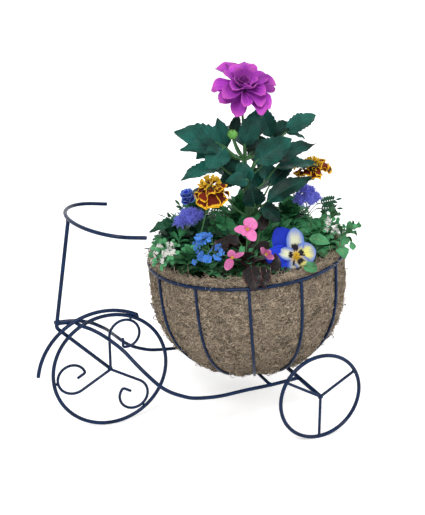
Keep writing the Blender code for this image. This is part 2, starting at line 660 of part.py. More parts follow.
def build_basket(axis):
    level = Vector((0, 0, BASKET_DEPTH))
    ring = ring_points(level, BASKET_RADIUS, Vector((1, 0, 0)), Vector((0, 1, 0)), RING_STEPS)
    rod("basket_ring", ring, BASKET_RING_ROD_RADIUS, (0, 0, 1), axis, closed=True)
    foot = ring_points(Vector(), FOOT_RING_RADIUS, Vector((1, 0, 0)), Vector((0, 1, 0)),
                       BOWL_STEPS // 2)
    rod("basket_foot_ring", foot, RIB_RADIUS, (0, 0, 1), axis, THIN_SIDES, closed=True)
    top = BASKET_DEPTH - BASKET_RING_ROD_RADIUS - WELD_GAP
    inner = FOOT_RING_RADIUS + 2 * RIB_RADIUS + WELD_GAP
    profile = [(BASKET_RADIUS, top)] + bowl_profile()[1:] + [(inner, 0)]
    for k in range(RIB_COUNT):
        a = FIRST_RIB + 2 * pi * k / RIB_COUNT
        points = [Vector((r * cos(a), r * sin(a), z)) for r, z in profile]
        rod(f"basket_rib_{k + 1:02d}", points, RIB_RADIUS, (-sin(a), cos(a), 0), axis,
            THIN_SIDES)


def liner_profiles():
    """Outer and inner (radius, height) lines of the liner, both from its top edge down."""
    inset = RIB_RADIUS + LINER_CLEARANCE
    widest = BASKET_RADIUS * cos(pi / RING_STEPS) - BASKET_RING_ROD_RADIUS - LINER_CLEARANCE
    outer = [(min(r, widest), z) for r, z in inset_profile(bowl_profile(), inset)]
    outer = [(widest, BASKET_DEPTH + LINER_STAND)] + outer + [(0, inset)]
    body = [(r, z) for r, z in inset_profile(outer[1:-1], LINER_THICKNESS)]
    inner = [(widest - LINER_THICKNESS, BASKET_DEPTH + LINER_STAND)] + body
    return outer, inner + [(0, inset + LINER_THICKNESS)]


def build_liner(axis):
    outer, inner = liner_profiles()
    profile = outer[::-1] + inner
    turned("coco_liner", profile, BOWL_STEPS, finish_of("coco_fibre", FIBRE_COLOUR, 0.95), axis)
    soil = [(max(r - SOIL_CLEARANCE, 0), z + SOIL_CLEARANCE) for r, z in inner]
    soil = [(r, z) for r, z in soil if z < SOIL_LEVEL]
    top = [(0, SOIL_LEVEL), (soil[0][0], SOIL_LEVEL)]
    turned("potting_soil", top + soil, BOWL_STEPS, finish_of("soil", SOIL_COLOUR, 1.0), axis)


def from_ring(shares):
    """A point of the planting from its shares of the plant height."""
    across, back, up = shares
    edge = (LINER_STAND + PLANT_CLEARANCE) * (1 - PLANT_FIT)
    level = Vector((0, 0, BASKET_DEPTH + edge))
    return level + Vector((across, back, up)) * (PLANT_HEIGHT * PLANT_FIT)


def add_form(bm, rings, steps, lobes):
    """A closed form through rings of (place matrix, radius, lobe depth share, turn share)."""
    loops = []
    for place, radius, depth, turn in rings:
        loop = []
        for k in range(steps):
            a = 2 * pi * k / steps
            lobe = (1 - cos(lobes * a + 2 * pi * turn)) / 2
            out = radius * (1 - depth * lobe)
            loop.append(bm.verts.new(place @ Vector((out * cos(a), out * sin(a), 0))))
        loops.append(loop)
    for first, second in zip(loops, loops[1:]):
        skin(bm, first, second)
    bm.faces.new(loops[0][::-1])
    bm.faces.new(loops[-1])


def stem_knot(foot_share):
    """The place on the stem that a leaf's stalk leaves, from the height of the leaf's foot."""
    level = max(share for share in KNOT_SHARES[:1] + tuple(
        share for share in KNOT_SHARES if share < foot_share - KNOT_BELOW_SHARE))
    for (low_across, _, low), (across, _, high) in zip(STEM_SHARES, STEM_SHARES[1:]):
        if low <= level <= high:
            share = (level - low) / (high - low)
            return from_ring((low_across + (across - low_across) * share, 0.0, level))
    raise ValueError(foot_share)


def add_leaf(bm, foot, tip, half_width_share, near_share):
    """A folded leaf of even thickness that sags a little between foot and tip."""
    run = tip - foot
    length = run.length
    upper_side = Vector((0, 0, 1)) + Vector(LEAF_LEAN_SHARES) * near_share
    place = frame_at(foot, run, upper_side)
    thickness = LEAF_THICKNESS * PLANT_FIT
    loops = []
    for share, width_share, sag_share in LEAF_WIDTH_SHARES:
        half = length * half_width_share * width_share
        lift = half * tan(LEAF_FOLD)
        low = length * sag_share - thickness / 2
        section = [(low, 0), (low + lift, half), (low + lift + thickness, half),
                   (low + thickness, 0), (low + lift + thickness, -half), (low + lift, -half)]
        loops.append([bm.verts.new(place @ Vector((x, y, length * share))) for x, y in section])
    for first, second in zip(loops, loops[1:]):
        skin(bm, first, second)
    bm.faces.new(loops[0][::-1])
    bm.faces.new(loops[-1])


def united(name, parts, material, parent):
    """One closed body made of overlapping closed forms, each added by its own function."""
    bodies = []
    for k, add in enumerate(parts):
        bm = bmesh.new()
        add(bm)
        bodies.append(node_from_bmesh(f"{name}_piece_{k}", bm, material, parent))
    trunk = bodies[0]
    branches = bpy.data.collections.new(f"{name}_pieces")
    for body in bodies[1:]:
        branches.objects.link(body)
    join = trunk.modifiers.new("union", "BOOLEAN")
    join.operation = "UNION"
    join.operand_type = "COLLECTION"
    join.collection = branches
    bpy.context.view_layer.update()
    whole = bpy.data.meshes.new_from_object(
        trunk.evaluated_get(bpy.context.evaluated_depsgraph_get()))
    whole.materials.clear()
    for body in bodies:
        bpy.data.objects.remove(body, do_unlink=True)
    bpy.data.collections.remove(branches)
    return object_of(name, whole, material, parent)


def build_dahlia(axis):
    stem = [from_ring(shares) for shares in STEM_SHARES]
    stem[0].z = PLANTING_LEVEL
    radii = [DAHLIA_STEM_DIAMETER / 2 * PLANT_FIT * share for share in STEM_TAPER_SHARES]
    petiole = PETIOLE_DIAMETER / 2 * PLANT_FIT
    parts = [lambda bm: add_rod(bm, stem, radii, THIN_SIDES, (1, 0, 0))]
    for foot_shares, tip_shares, width_share, near_share in LEAF_SHARES:
        knot = stem_knot(foot_shares[-1])
        foot, tip = from_ring(foot_shares), from_ring(tip_shares)
        into = foot + (tip - foot) * PETIOLE_REACH_SHARE
        hangs = (foot - knot).angle(tip - foot) > PETIOLE_BEND
        stalk = [knot, foot] if hangs else [knot, foot, into]
        parts.append(lambda bm, path=stalk: add_rod(bm, path, petiole, THIN_SIDES, (0, 1, 0)))
        parts.append(lambda bm, a=foot, b=tip, w=width_share, n=near_share: add_leaf(
            bm, a, b, w, n))
    bud = from_ring(BUD_SHARES)
    under = bud - Vector((0, 0, DAHLIA_BUD_RADIUS * PLANT_FIT + PLANT_CLEARANCE))
    knot = from_ring(BUD_KNOT_SHARES)
    below = under - Vector((0, 0, petiole * 4))
    parts.append(lambda bm: add_rod(bm, [knot, (knot + below) / 2, below, under], petiole,
                                    THIN_SIDES, (0, 1, 0)))
    united("dahlia_plant", parts, finish_of("dahlia_leaf", DARK_LEAF_COLOUR, 0.55), axis)
    build_bud(bud, axis)
    build_bloom(stem[-1], radii[-1], axis)


def build_bud(centre, axis):
    rings = []
    radius = DAHLIA_BUD_RADIUS * PLANT_FIT
    for share in BUD_RING_SHARES:
        a = pi * (share - 0.5)
        place = Matrix.Translation(centre + Vector((0, 0, radius * sin(a))))
        rings.append((place, radius * cos(a), 0.0, 0.0))
    bm = bmesh.new()
    add_form(bm, rings, BUD_STEPS, 1)
    node_from_bmesh("dahlia_bud", bm, finish_of("bud_green", BUD_COLOUR, 0.5), axis)


def build_bloom(stem_end, stem_radius, axis):
    """Rings of petals, each set above and inside the last and turned half a petal."""
    tilt = Vector(BLOOM_AIM).angle(Vector((0, 0, 1)))
    seat = stem_end + Vector((0, 0, PLANT_CLEARANCE + stem_radius * sin(tilt)))
    place = frame_at(seat, BLOOM_AIM, (1, 0, 0))
    rings = [(place, stem_radius, 0.0, 0.0)]
    radius = DAHLIA_BLOOM_RADIUS * PLANT_FIT
    for radius_share, height_share, depth_share, turn_share in BLOOM_RING_SHARES:
        lift = Matrix.Translation((0, 0, radius * height_share))
        rings.append((place @ lift, radius * radius_share, depth_share, turn_share))
    bm = bmesh.new()
    add_form(bm, rings, BLOOM_STEPS, BLOOM_PETALS)
    node_from_bmesh("dahlia_bloom", bm, finish_of("dahlia_petal", DAHLIA_COLOUR, 0.6), axis)


def tuft_place(tuft, rise_share, lean_share):
    """A point on a tuft's middle line, above the liner's edge and out over it."""
    for turn, (name, rise, lean) in enumerate(TUFT_SHARES):
        if name == tuft:
            a = FIRST_TUFT + 2 * pi * turn / len(TUFT_SHARES)
            out = (TUFT_RING_RADIUS + TUFT_OVERHANG * lean * lean_share) * PLANT_FIT
            level = EDGE_LEVEL + TUFT_RISE * PLANT_FIT * rise * rise_share
            return Vector((out * cos(a), out * sin(a), level))
    raise ValueError(tuft)


def build_tufts(axis):
    radius = TUFT_RADIUS * PLANT_FIT
    for number, (name, rise, lean) in enumerate(TUFT_SHARES, 1):
        foot = tuft_place(name, 0, 0)
        foot.z = PLANTING_LEVEL
        turn = number * TUFT_TURN_SHARE
        rings = [(Matrix.Translation(foot), radius * TUFT_FOOT_SHARE, TUFT_DEPTH_SHARE, turn)]
        rings.append((Matrix.Translation(tuft_place(name, 0, TUFT_NECK_SHARE)), radius,
                      TUFT_DEPTH_SHARE, turn))
        for rise_share, radius_share, lean_share in TUFT_RING_SHARES:
            place = Matrix.Translation(tuft_place(name, rise_share, lean_share))
            rings.append((place, radius * radius_share, TUFT_DEPTH_SHARE, turn))
        bm = bmesh.new()
        add_form(bm, rings, TUFT_STEPS, TUFT_LOBES)
        node_from_bmesh(name, bm, tuft_finish(name), axis)


def tuft_finish(name):
    if name.startswith("begonia"):
        return finish_of("bronze_leaf", BRONZE_LEAF_COLOUR, 0.5)
    return finish_of("bedding_leaf", LIGHT_LEAF_COLOUR, 0.6)


def build_flowers(axis):
    """Each flower's stalk rises from its tuft's flat top and turns to the way the head faces."""
    top_radius = TUFT_RADIUS * PLANT_FIT * TUFT_TOP_SHARE * (1 - TUFT_DEPTH_SHARE)
    stalk = FLOWER_STEM_DIAMETER / 2 * PLANT_FIT
    for name, kind, tuft, foot_shares, head_shares, aim in FLOWER_SHARES:
        radius, colour = FLOWER_KINDS[kind]
        radius *= PLANT_FIT
        profile, lobes, depth_share = KIND_SHARES[kind]
        spread = top_radius - stalk
        aside, back = foot_shares
        foot = tuft_place(tuft, 1, 1) + Vector((aside * spread, back * spread, PLANT_CLEARANCE))
        head = from_ring(head_shares)
        (_, lowest), *_ = profile
        neck = head + Vector(aim).normalized() * radius * (lowest - NECK_SHARE)
        knee = foot + (neck - foot) * KNEE_SHARE
        knee.x, knee.y = (foot.x + knee.x) / 2, (foot.y + knee.y) / 2
        rings = [(Matrix.Translation(foot), stalk, 0.0, 0.0),
                 (frame_at(knee, neck - foot, (1, 0, 0)), stalk, 0.0, 0.0),
                 (frame_at(neck, aim, (1, 0, 0)), stalk, 0.0, 0.0)]
        place = frame_at(head, aim, (1, 0, 0))
        for radius_share, height_share in profile:
            lift = Matrix.Translation((0, 0, radius * height_share))
            rings.append((place @ lift, radius * radius_share, depth_share, 0.0))
        bm = bmesh.new()
        add_form(bm, rings, lobes * HEAD_STEPS_PER_LOBE, lobes)
        node_from_bmesh(name, bm, finish_of(f"{kind}_petal", colour, 0.6), axis)


def centre_on_origin(root):
    """The root is moved so that the whole box stands on Z = 0, centred in X and Y."""
    bpy.context.view_layer.update()
    corners = [node.matrix_world @ vertex.co for node in bpy.data.objects
               if node.type == "MESH" for vertex in node.data.vertices]
    low = Vector([min(c[k] for c in corners) for k in range(3)])
    high = Vector([max(c[k] for c in corners) for k in range(3)])
    root.location = (-(low.x + high.x) / 2, -(low.y + high.y) / 2, -low.z)


def build():
    clear_scene()
    root = empty(OBJECT_ROOT)
    build_front(root)
    build_steering(root)
    bar_level = build_chassis(root)
    build_rear(root)
    axis = place_basket(bar_level, root)
    build_basket(axis)
    build_liner(axis)
    build_dahlia(axis)
    build_tufts(axis)
    build_flowers(axis)
    centre_on_origin(root)
    bpy.context.view_layer.update()


if __name__ == "__main__":
    build()
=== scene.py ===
"""Tricycle planter: the finished look of the wire tricycle, its lined basket and its planting.

Metres, +Z up, in the packed model's frame: the front wheel is towards -X and the near side is -Y.
The planting is modelled in the basket's own frame, from the centre of the basket's ring.
"""

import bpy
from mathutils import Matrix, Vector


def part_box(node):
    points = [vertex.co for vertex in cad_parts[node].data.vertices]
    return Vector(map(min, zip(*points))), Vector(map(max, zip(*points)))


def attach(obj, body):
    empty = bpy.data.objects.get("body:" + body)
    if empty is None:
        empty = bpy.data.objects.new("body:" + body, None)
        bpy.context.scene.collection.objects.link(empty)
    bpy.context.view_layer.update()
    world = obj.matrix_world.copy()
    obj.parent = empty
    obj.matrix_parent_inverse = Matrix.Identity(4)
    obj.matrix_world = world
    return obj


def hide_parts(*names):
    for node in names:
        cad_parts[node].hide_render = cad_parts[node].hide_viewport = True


bl_info = {
    "name": "Tricycle Planter",
    "version": (1, 0, 0),
    "blender": (4, 5, 0),
    "location": "3D View > Sidebar > Planter",
    "description": "Builds a wire tricycle planter with a lined basket of bedding plants",
    "category": "Add Mesh",
}

from math import acos, atan2, cos, hypot, pi, radians, sin, sqrt, tan

import bpy
import numpy as np
from mathutils import Matrix, Vector
from numpy.linalg import norm

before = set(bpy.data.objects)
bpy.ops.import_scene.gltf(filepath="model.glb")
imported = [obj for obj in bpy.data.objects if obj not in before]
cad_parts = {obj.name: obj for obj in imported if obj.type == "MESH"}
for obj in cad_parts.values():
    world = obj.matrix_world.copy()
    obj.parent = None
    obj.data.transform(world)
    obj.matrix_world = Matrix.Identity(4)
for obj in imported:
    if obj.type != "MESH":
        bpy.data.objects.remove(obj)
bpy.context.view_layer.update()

MM = 0.001
FRAME_BODY = "wire_frame"
PLANTING_BODY = "planting"


def middle_of(node):
    low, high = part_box(node)
    return (Vector(low) + Vector(high)) / 2


FRONT_HUB = middle_of("front_wheel_rim")
REAR_HUBS = {side: middle_of(f"{side}_rear_rim") for side in ("near", "far")}
CROSS_BAR = middle_of("cross_bar")
RING_CENTRE = middle_of("basket_ring")
BASKET_AXIS = (RING_CENTRE - middle_of("basket_foot_ring")).normalized()
BASKET_DEPTH = (RING_CENTRE - middle_of("basket_foot_ring")).length
ACROSS = Vector((0, 1, 0))
BASKET_FRAME = Matrix((ACROSS.cross(BASKET_AXIS), ACROSS, BASKET_AXIS)).transposed().to_4x4()
BASKET_FRAME.translation = RING_CENTRE


def length(name, millimetres, description):
    """A length that the sidebar shows, given in millimetres and kept in metres."""
    return bpy.props.FloatProperty(name=name, default=millimetres * MM, unit="LENGTH",
                                   precision=4, description=description)


def angle(name, degrees, description):
    return bpy.props.FloatProperty(name=name, default=radians(degrees), unit="ROTATION",
                                   description=description)


def power(name, value, description):
    return bpy.props.FloatProperty(name=name, default=value, min=0.1, description=description)


def count(name, value, description):
    return bpy.props.IntProperty(name=name, default=value, min=1, description=description)


def colour(name, value, description):
    return bpy.props.FloatVectorProperty(name=name, default=value, size=3, min=0.0, max=1.0,
                                         subtype="COLOR", description=description)


class WireSettings(bpy.types.PropertyGroup):
    """Rods of the frame, wheels and basket."""

    rod: length("Rod diameter", 5.0, "Main frame rod")
    spoke: length("Spoke diameter", 3.6, "Spokes and scrolls")
    axle: length("Axle diameter", 6.0, "Rear axle")
    cross_bar: length("Cross bar diameter", 4.5, "Bar between the side rails")
    gap: length("Weld gap", 0.3, "Gap between rods that are welded")
    scroll_radius: length("Scroll radius", 24.8, "Start of each scroll")
    scroll_end: length("Scroll end radius", 20.5, "End of each scroll")
    scroll_tail: length("Scroll tail", 15.0, "Straight end of each scroll")
    tail_bend: length("Tail bend", 3.5, "Bend radius of the scroll's end")
    arc_radius: length("Mudguard arc radius", 103.5, "Arc over the front wheel")
    arc_lean: angle("Arc lean", 50.0, "Direction in which the arc stands off the rim")
    arc_touch: angle("Arc touch", 60.0, "Where the arc meets the rim")
    arc_end: angle("Arc end", 172.0, "Free end of the arc")
    crown_ahead: length("Crown ahead", 77.5, "Crown in front of the front hub")
    crown_height: length("Crown height", 167.5, "Bend between stem and fork")
    crown_bend: length("Crown bend", 9.0, "Bend radius at the crown")
    stem_ahead: length("Stem top ahead", 52.0, "Top of the stem in front of the front hub")
    bar_height: length("Handlebar height", 329.5, "Handlebar above the ground")
    bar_half_width: length("Handlebar half width", 97.0, "Half of the handlebar's width")
    bar_bow: length("Handlebar bow", 63.0, "Depth of the handlebar's bow")
    bar_grip: length("Grip length", 22.0, "Straight ends of the handlebar")
    bar_fall: angle("Handlebar fall", 7.5, "How far the grips point down")
    rail_high: length("Rail crown height", 174.0, "Rails where they meet the stem")
    rail_low: length("Rail low height", 60.8, "Rails under the basket")
    rail_spread: length("Rail half spread", 95.8, "Rails from the middle")
    paint: colour("Paint", (0.002, 0.012, 0.044), "Powder coat")
    dust: colour("Dust", (0.07, 0.09, 0.16), "Dust and scuffs on the coat")


class BasketSettings(bpy.types.PropertyGroup):
    """Round basket, coco liner and soil."""

    ring: length("Ring rod diameter", 4.5, "Basket ring")
    rib: length("Rib diameter", 3.8, "Basket ribs and foot ring")
    radius: length("Basket radius", 150.0, "Ring's centre line")
    floor_radius: length("Floor radius", 65.0, "Where the ribs turn into the floor")
    side_power: power("Side power", 3.2, "How late the side turns in")
    floor_power: power("Floor power", 1.25, "How round the floor's edge is")
    foot_radius: length("Foot ring radius", 36.0, "Ring under the liner")
    ribs: count("Ribs", 12, "Ribs of the basket")
    first_rib: angle("First rib", -82.5, "Place of the first rib")
    thickness: length("Liner thickness", 9.0, "Fibre mat")
    stand: length("Liner stand", 13.0, "Mat's edge above the ring")
    bulge: length("Bulge", 4.4, "How far the mat swells between ribs")
    soil_below: length("Soil below ring", 7.0, "Top of the soil under the ring")
    fibres: count("Fibres", 11500, "Loose fibres on the mat's side")
    edge_fibres: count("Edge fibres", 2200, "Frayed fibres on the mat's edge")
    fibre: length("Fibre diameter", 1.05, "Thickness of a fibre")
    dark_fibre: colour("Dark fibre", (0.040, 0.031, 0.023), "Shaded fibre")
    light_fibre: colour("Light fibre", (0.98, 0.80, 0.60), "Sunlit fibre")
    soil: colour("Soil", (0.022, 0.014, 0.009), "Potting soil")


class DahliaSettings(bpy.types.PropertyGroup):
    """Tall plant in the middle."""

    bloom_radius: length("Bloom radius", 47.0, "Widest ring of petals")
    bud_radius: length("Bud radius", 7.0, "Green bud beside the stem")
    stem: length("Stem diameter", 7.0, "Stem at the soil")
    petiole: length("Petiole diameter", 3.4, "Leaf stalks")
    petal: colour("Petal", (0.34, 0.042, 0.40), "Petals")
    petal_edge: colour("Petal edge", (0.76, 0.14, 0.60), "Tips and edges of the petals")
    leaf: colour("Leaf", (0.006, 0.052, 0.042), "Upper side of the leaves")
    leaf_vein: colour("Leaf vein", (0.03, 0.13, 0.10), "Midribs and side veins")
    bud: colour("Bud", (0.07, 0.22, 0.05), "Bud and its bracts")


class BeddingSettings(bpy.types.PropertyGroup):
    """Flowers and foliage round the middle plant."""

    marigold_radius: length("Marigold radius", 29.0, "Ruffled heads")
    ageratum_radius: length("Ageratum radius", 21.0, "Fluffy heads")
    viola_radius: length("Viola radius", 9.5, "Folded blossoms")
    lobelia_spread: length("Lobelia spread", 25.0, "Cluster of small blue flowers")
    alyssum_radius: length("Alyssum radius", 20.0, "Clusters of white florets")
    begonia_radius: length("Begonia radius", 17.0, "Four-petal flowers")
    pansy_radius: length("Pansy radius", 34.0, "Large flat flower")
    marigold_red: colour("Marigold red", (0.13, 0.010, 0.002), "Inner part of the petals")
    marigold_yellow: colour("Marigold yellow", (0.92, 0.50, 0.02), "Rims and crest")
    ageratum: colour("Ageratum", (0.17, 0.19, 1.0), "Fluffy heads")
    viola: colour("Viola", (0.018, 0.022, 0.34), "Folded blossoms")
    lobelia: colour("Lobelia", (0.050, 0.19, 0.72), "Small flowers")
    alyssum: colour("Alyssum", (0.86, 0.86, 0.84), "Florets")
    begonia: colour("Begonia", (0.80, 0.20, 0.48), "Petals")
    pansy_blue: colour("Pansy blue", (0.007, 0.026, 0.40), "Upper petals")
    pansy_pale: colour("Pansy pale", (0.86, 0.88, 0.62), "Lower petals")
    pansy_yellow: colour("Pansy yellow", (0.88, 0.82, 0.24), "Lowest petals")
    pansy_rim: colour("Pansy rim", (0.10, 0.19, 0.62), "Rims of the lower petals")
    pansy_blotch: colour("Pansy blotch", (0.008, 0.006, 0.012), "Blotches round the eye")
    yellow_eye: colour("Yellow eye", (0.85, 0.52, 0.02), "Stamens and eyes")
    green_leaf: colour("Green leaf", (0.035, 0.175, 0.075), "Bedding leaves")
    light_leaf: colour("Light leaf", (0.045, 0.19, 0.085), "Young and narrow leaves")
    dark_leaf: colour("Dark leaf", (0.010, 0.055, 0.030), "Ferny leaves")
    bronze_leaf: colour("Bronze leaf", (0.009, 0.009, 0.010), "Dark round leaves")


class StageSettings(bpy.types.PropertyGroup):
    """Floor, lamps and camera."""

    floor_size: length("Floor size", 30000.0, "Side of the square floor")
    focal: power("Focal length", 43.93, "Lens for a 24 mm tall sensor, in millimetres")
    floor: colour("Floor", (0.93, 0.93, 0.93), "Floor and backdrop")


# Run, spread and height of the side rails, as shares of their full run, spread and fall.
RAIL_SHARES = (
    (0.000, 0.000, 1.000), (0.040, 0.000, 0.993), (0.066, 0.004, 0.985), (0.086, 0.115, 0.962),
    (0.126, 0.165, 0.910), (0.164, 0.247, 0.845), (0.206, 0.340, 0.749), (0.244, 0.470, 0.645),
    (0.275, 0.630, 0.533), (0.309, 0.780, 0.415), (0.361, 0.900, 0.252), (0.406, 0.940, 0.155),
    (0.454, 0.968, 0.086), (0.501, 0.990, 0.038), (0.570, 1.000, 0.010), (0.640, 1.000, 0.000),
    (0.752, 1.000, 0.017), (0.872, 1.000, 0.026), (1.000, 1.000, 0.058),
)
SPOKES = 3
# The solids keep a gap between them; the rods seen are this much proud, so that they meet.
WELD_FILL = 0.3 * MM
UP = np.array([0, 0, 1.0])


# Points, grids and meshes.

def unit(vector):
    vector = np.asarray(vector, float)
    return vector / max(norm(vector), 1e-12)


def dice(name):
    """Random numbers that are the same each time for the same name."""
    return np.random.default_rng(sum(ord(c) * (k + 3) for k, c in enumerate(name)))


def ripple(points, size, name, octaves=3):
    """Smooth noise of about -1 to 1 with swells about one size across."""
    chance = dice(name)
    total, weight = 0.0, 0.0
    for octave in range(octaves):
        for _ in range(5):
            way = unit(chance.normal(size=3)) * chance.uniform(0.7, 1.3)
            wave = points @ way * (2 * pi / size * 2 ** octave) + chance.uniform(0, 2 * pi)
            total = total + np.sin(wave) / 2 ** octave
            weight += 0.5 / 2 ** octave
    return total / weight


def seat(point, along, up=(0, 0, 1)):
    """A place with +Y along a direction and +Z as near to up as it goes: (turn, point)."""
    y = unit(along)
    x = np.cross(y, up)
    if norm(x) < 1e-6:
        x = np.cross(y, (1, 0, 0.01))
    x = unit(x)
    return np.stack([x, y, np.cross(x, y)], 1), np.asarray(point, float)


def face_on(point, aim, side=(1, 0, 0)):
    """A place with +Z along the aim and +X as near to side as it goes."""
    z = unit(aim)
    x = unit(np.asarray(side, float) - z * np.dot(side, z))
    return np.stack([x, np.cross(z, x), z], 1), np.asarray(point, float)


def put(points, place):
    turn, point = place
    return points @ turn.T + point


def inside(place, outer):
    """A place given within another place, in the outer one's frame."""
    return outer[0] @ place[0], outer[0] @ place[1] + outer[1]


def shifted(offset, place):
    """A place moved along its own axes."""
    return place[0], put(np.asarray(offset, float), place)


def turned(turn, radius=1.0, level=0.0):
    """Points at a turn round Z, a distance from it and a level."""
    return np.stack(np.broadcast_arrays(radius * np.cos(turn), radius * np.sin(turn), level), -1)


def tilted(turn, rise):
    """Outwards at a turn, the same raised by an angle, and the way square to that: up."""
    out = np.array([cos(turn), sin(turn), 0])
    return out, out * cos(rise) + UP * sin(rise), UP * cos(rise) - out * sin(rise)


def globe(low, high, rows, sides):
    """Points on a ball of radius 1 between two heights, given as shares of half a turn."""
    rise = np.linspace(low * pi, high * pi, rows)[:, None]
    return turned(2 * pi * np.arange(sides) / sides, np.cos(rise), np.sin(rise))


def grid_of(rows, columns):
    """Places from 0 to 1 along and across a grid."""
    return np.stack(np.meshgrid(np.linspace(0, 1, rows), np.linspace(0, 1, columns),
                                indexing="ij"), -1)


class Shape:
    """Grids of points gathered into one mesh, with a tint for each point."""

    def __init__(self):
        self.points, self.tints, self.quads, self.quad_uvs, self.quad_slots = [], [], [], [], []
        self.caps, self.total = [], 0

    def add_points(self, points, tint):
        flat = points.reshape(-1, 3)
        self.points.append(flat)
        self.tints.append(np.broadcast_to(np.asarray(tint, float), points.shape[:-1]).reshape(-1))
        start = self.total
        self.total += len(flat)
        return start + np.arange(len(flat)).reshape(points.shape[:-1])

    def add_quads(self, a, b, c, d, uv_a, uv_b, uv_c, uv_d, slot):
        self.quads.append(np.stack([a, b, c, d], -1).reshape(-1, 4))
        corners = np.stack([uv_a, uv_b, uv_c, uv_d], -2)
        corners = np.broadcast_to(corners, a.shape + (4, 2))
        self.quad_uvs.append(corners.reshape(-1, 4, 2))
        self.quad_slots.append(np.full(a.size, slot))

    def skin(self, index, uv, slot):
        """Quads between neighbouring rows of points, closed along the last axis."""
        around = np.concatenate([index, index[..., :1]], -1)
        here, on = slice(None, -1), slice(1, None)
        corners = ((here, here), (here, on), (on, on), (on, here))
        self.add_quads(*[around[(..., *c)] for c in corners], *[uv[c] for c in corners], slot)

    def tube(self, rings, tint=0.5, slot=0, closed=False):
        """Skins rings of points (..., rings, sides, 3) with caps at both ends."""
        index = self.add_points(rings, tint)
        if closed:
            index = np.concatenate([index, index[..., :1, :]], -2)
        rows, sides = index.shape[-2:]
        self.skin(index, grid_of(rows, sides + 1), slot)
        if not closed:
            for ends, order in ((index[..., 0, :], -1), (index[..., -1, :], 1)):
                self.caps.append((ends.reshape(-1, sides)[:, ::order], slot))

    def sheet(self, grid, thickness, tint=0.5, slot=0):
        """A thin solid sheet (..., along, across, 3) with its upper side on the grid."""
        normal = np.cross(np.gradient(grid, axis=-2), np.gradient(grid, axis=-3))
        normal = normal / np.maximum(norm(normal, axis=-1, keepdims=True), 1e-12)
        tint = np.broadcast_to(np.asarray(tint, float), grid.shape[:-1])
        rows, columns = grid.shape[-3:-1]
        lay = grid_of(rows, columns)
        both = np.concatenate([grid, (grid - normal * thickness)[..., ::-1, :]], -2)
        index = self.add_points(both, np.concatenate([tint, tint[..., ::-1]], -1))
        self.skin(index, np.concatenate([lay, lay[:, ::-1], lay[:, :1]], 1), slot)
        for row, order in ((0, -1), (rows - 1, 1)):
            top, low = index[..., row, :columns], index[..., row, columns:][..., ::-1]
            ends = (top[..., :-1], top[..., 1:], low[..., 1:], low[..., :-1])
            spots = (lay[row, :-1], lay[row, 1:], lay[row, 1:], lay[row, :-1])
            self.add_quads(*ends[::order], *spots[::order], slot)

    def mesh(self, name):
        mesh = bpy.data.meshes.new(name)
        points = np.concatenate(self.points)
        quads = np.concatenate(self.quads)
        rows = [row for ends, _ in self.caps for row in ends]
        slots = np.concatenate(self.quad_slots + [np.full(len(ends), slot)
                                                  for ends, slot in self.caps])
        sizes = np.array([4] * len(quads) + [len(row) for row in rows])
        corners = np.concatenate([quads.reshape(-1)] + rows)
        mesh.vertices.add(len(points))
        mesh.vertices.foreach_set("co", points.reshape(-1))
        mesh.loops.add(len(corners))
        mesh.loops.foreach_set("vertex_index", corners)
        mesh.polygons.add(len(sizes))
        mesh.polygons.foreach_set("loop_start", np.concatenate([[0], np.cumsum(sizes)[:-1]]))
        mesh.polygons.foreach_set("material_index", slots)
        spread = np.full((len(corners), 2), 0.5)
        uvs = np.concatenate(self.quad_uvs).reshape(-1, 2)
        spread[:len(uvs)] = uvs
        mesh.uv_layers.new(name="lay").data.foreach_set("uv", spread.reshape(-1))
        tint = mesh.attributes.new("tint", "FLOAT", "POINT")
        tint.data.foreach_set("value", np.concatenate(self.tints))
        mesh.update(calc_edges=True)
        mesh.validate()
        mesh.shade_smooth()
        return mesh

    def piece(self, name, finishes, body, slot, *nodes, place=None, crease=40.0):
        """The gathered shape as one object that rides on a body and stands for CAD nodes."""
        mesh = self.mesh(name)
        mesh.set_sharp_from_angle(angle=radians(crease))
        for finish in finishes:
            mesh.materials.append(finish)
        piece = bpy.data.objects.new(name, mesh)
        bpy.context.scene.collection.objects.link(piece)
        if place is not None:
            piece.matrix_world = place
        bpy.context.view_layer.update()
        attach(piece, body)
        if nodes:
            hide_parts(*nodes)
        return piece


def skin_paths(path, radius, ways, side, sides):
    """Rings of points round paths (..., steps, 3), square to their ways, from a side direction."""
    turn = 2 * pi * np.arange(sides)[:, None] / sides
    other = np.cross(ways, side)
    return path[..., None, :] + radius * (np.cos(turn) * side[..., None, :]
                                          + np.sin(turn) * other[..., None, :])


def rings_on(path, radius, sides=16, closed=False, side=None):
    """Rings of points square to a path, carried along it without twisting."""
    path = np.asarray([tuple(p) for p in path], float)
    if closed:
        ways = np.roll(path, -1, 0) - np.roll(path, 1, 0)
    else:
        ways = np.gradient(path, axis=0)
    ways /= norm(ways, axis=1, keepdims=True)
    if side is None:
        side = np.cross(ways[0], (0.31, 0.2, 0.93))
    across = []
    for way in ways:
        side = unit(side - way * np.dot(side, way))
        across.append(side)
    radius = np.broadcast_to(np.asarray(radius, float), len(path))[:, None, None]
    return skin_paths(path, radius, ways, np.array(across), sides)


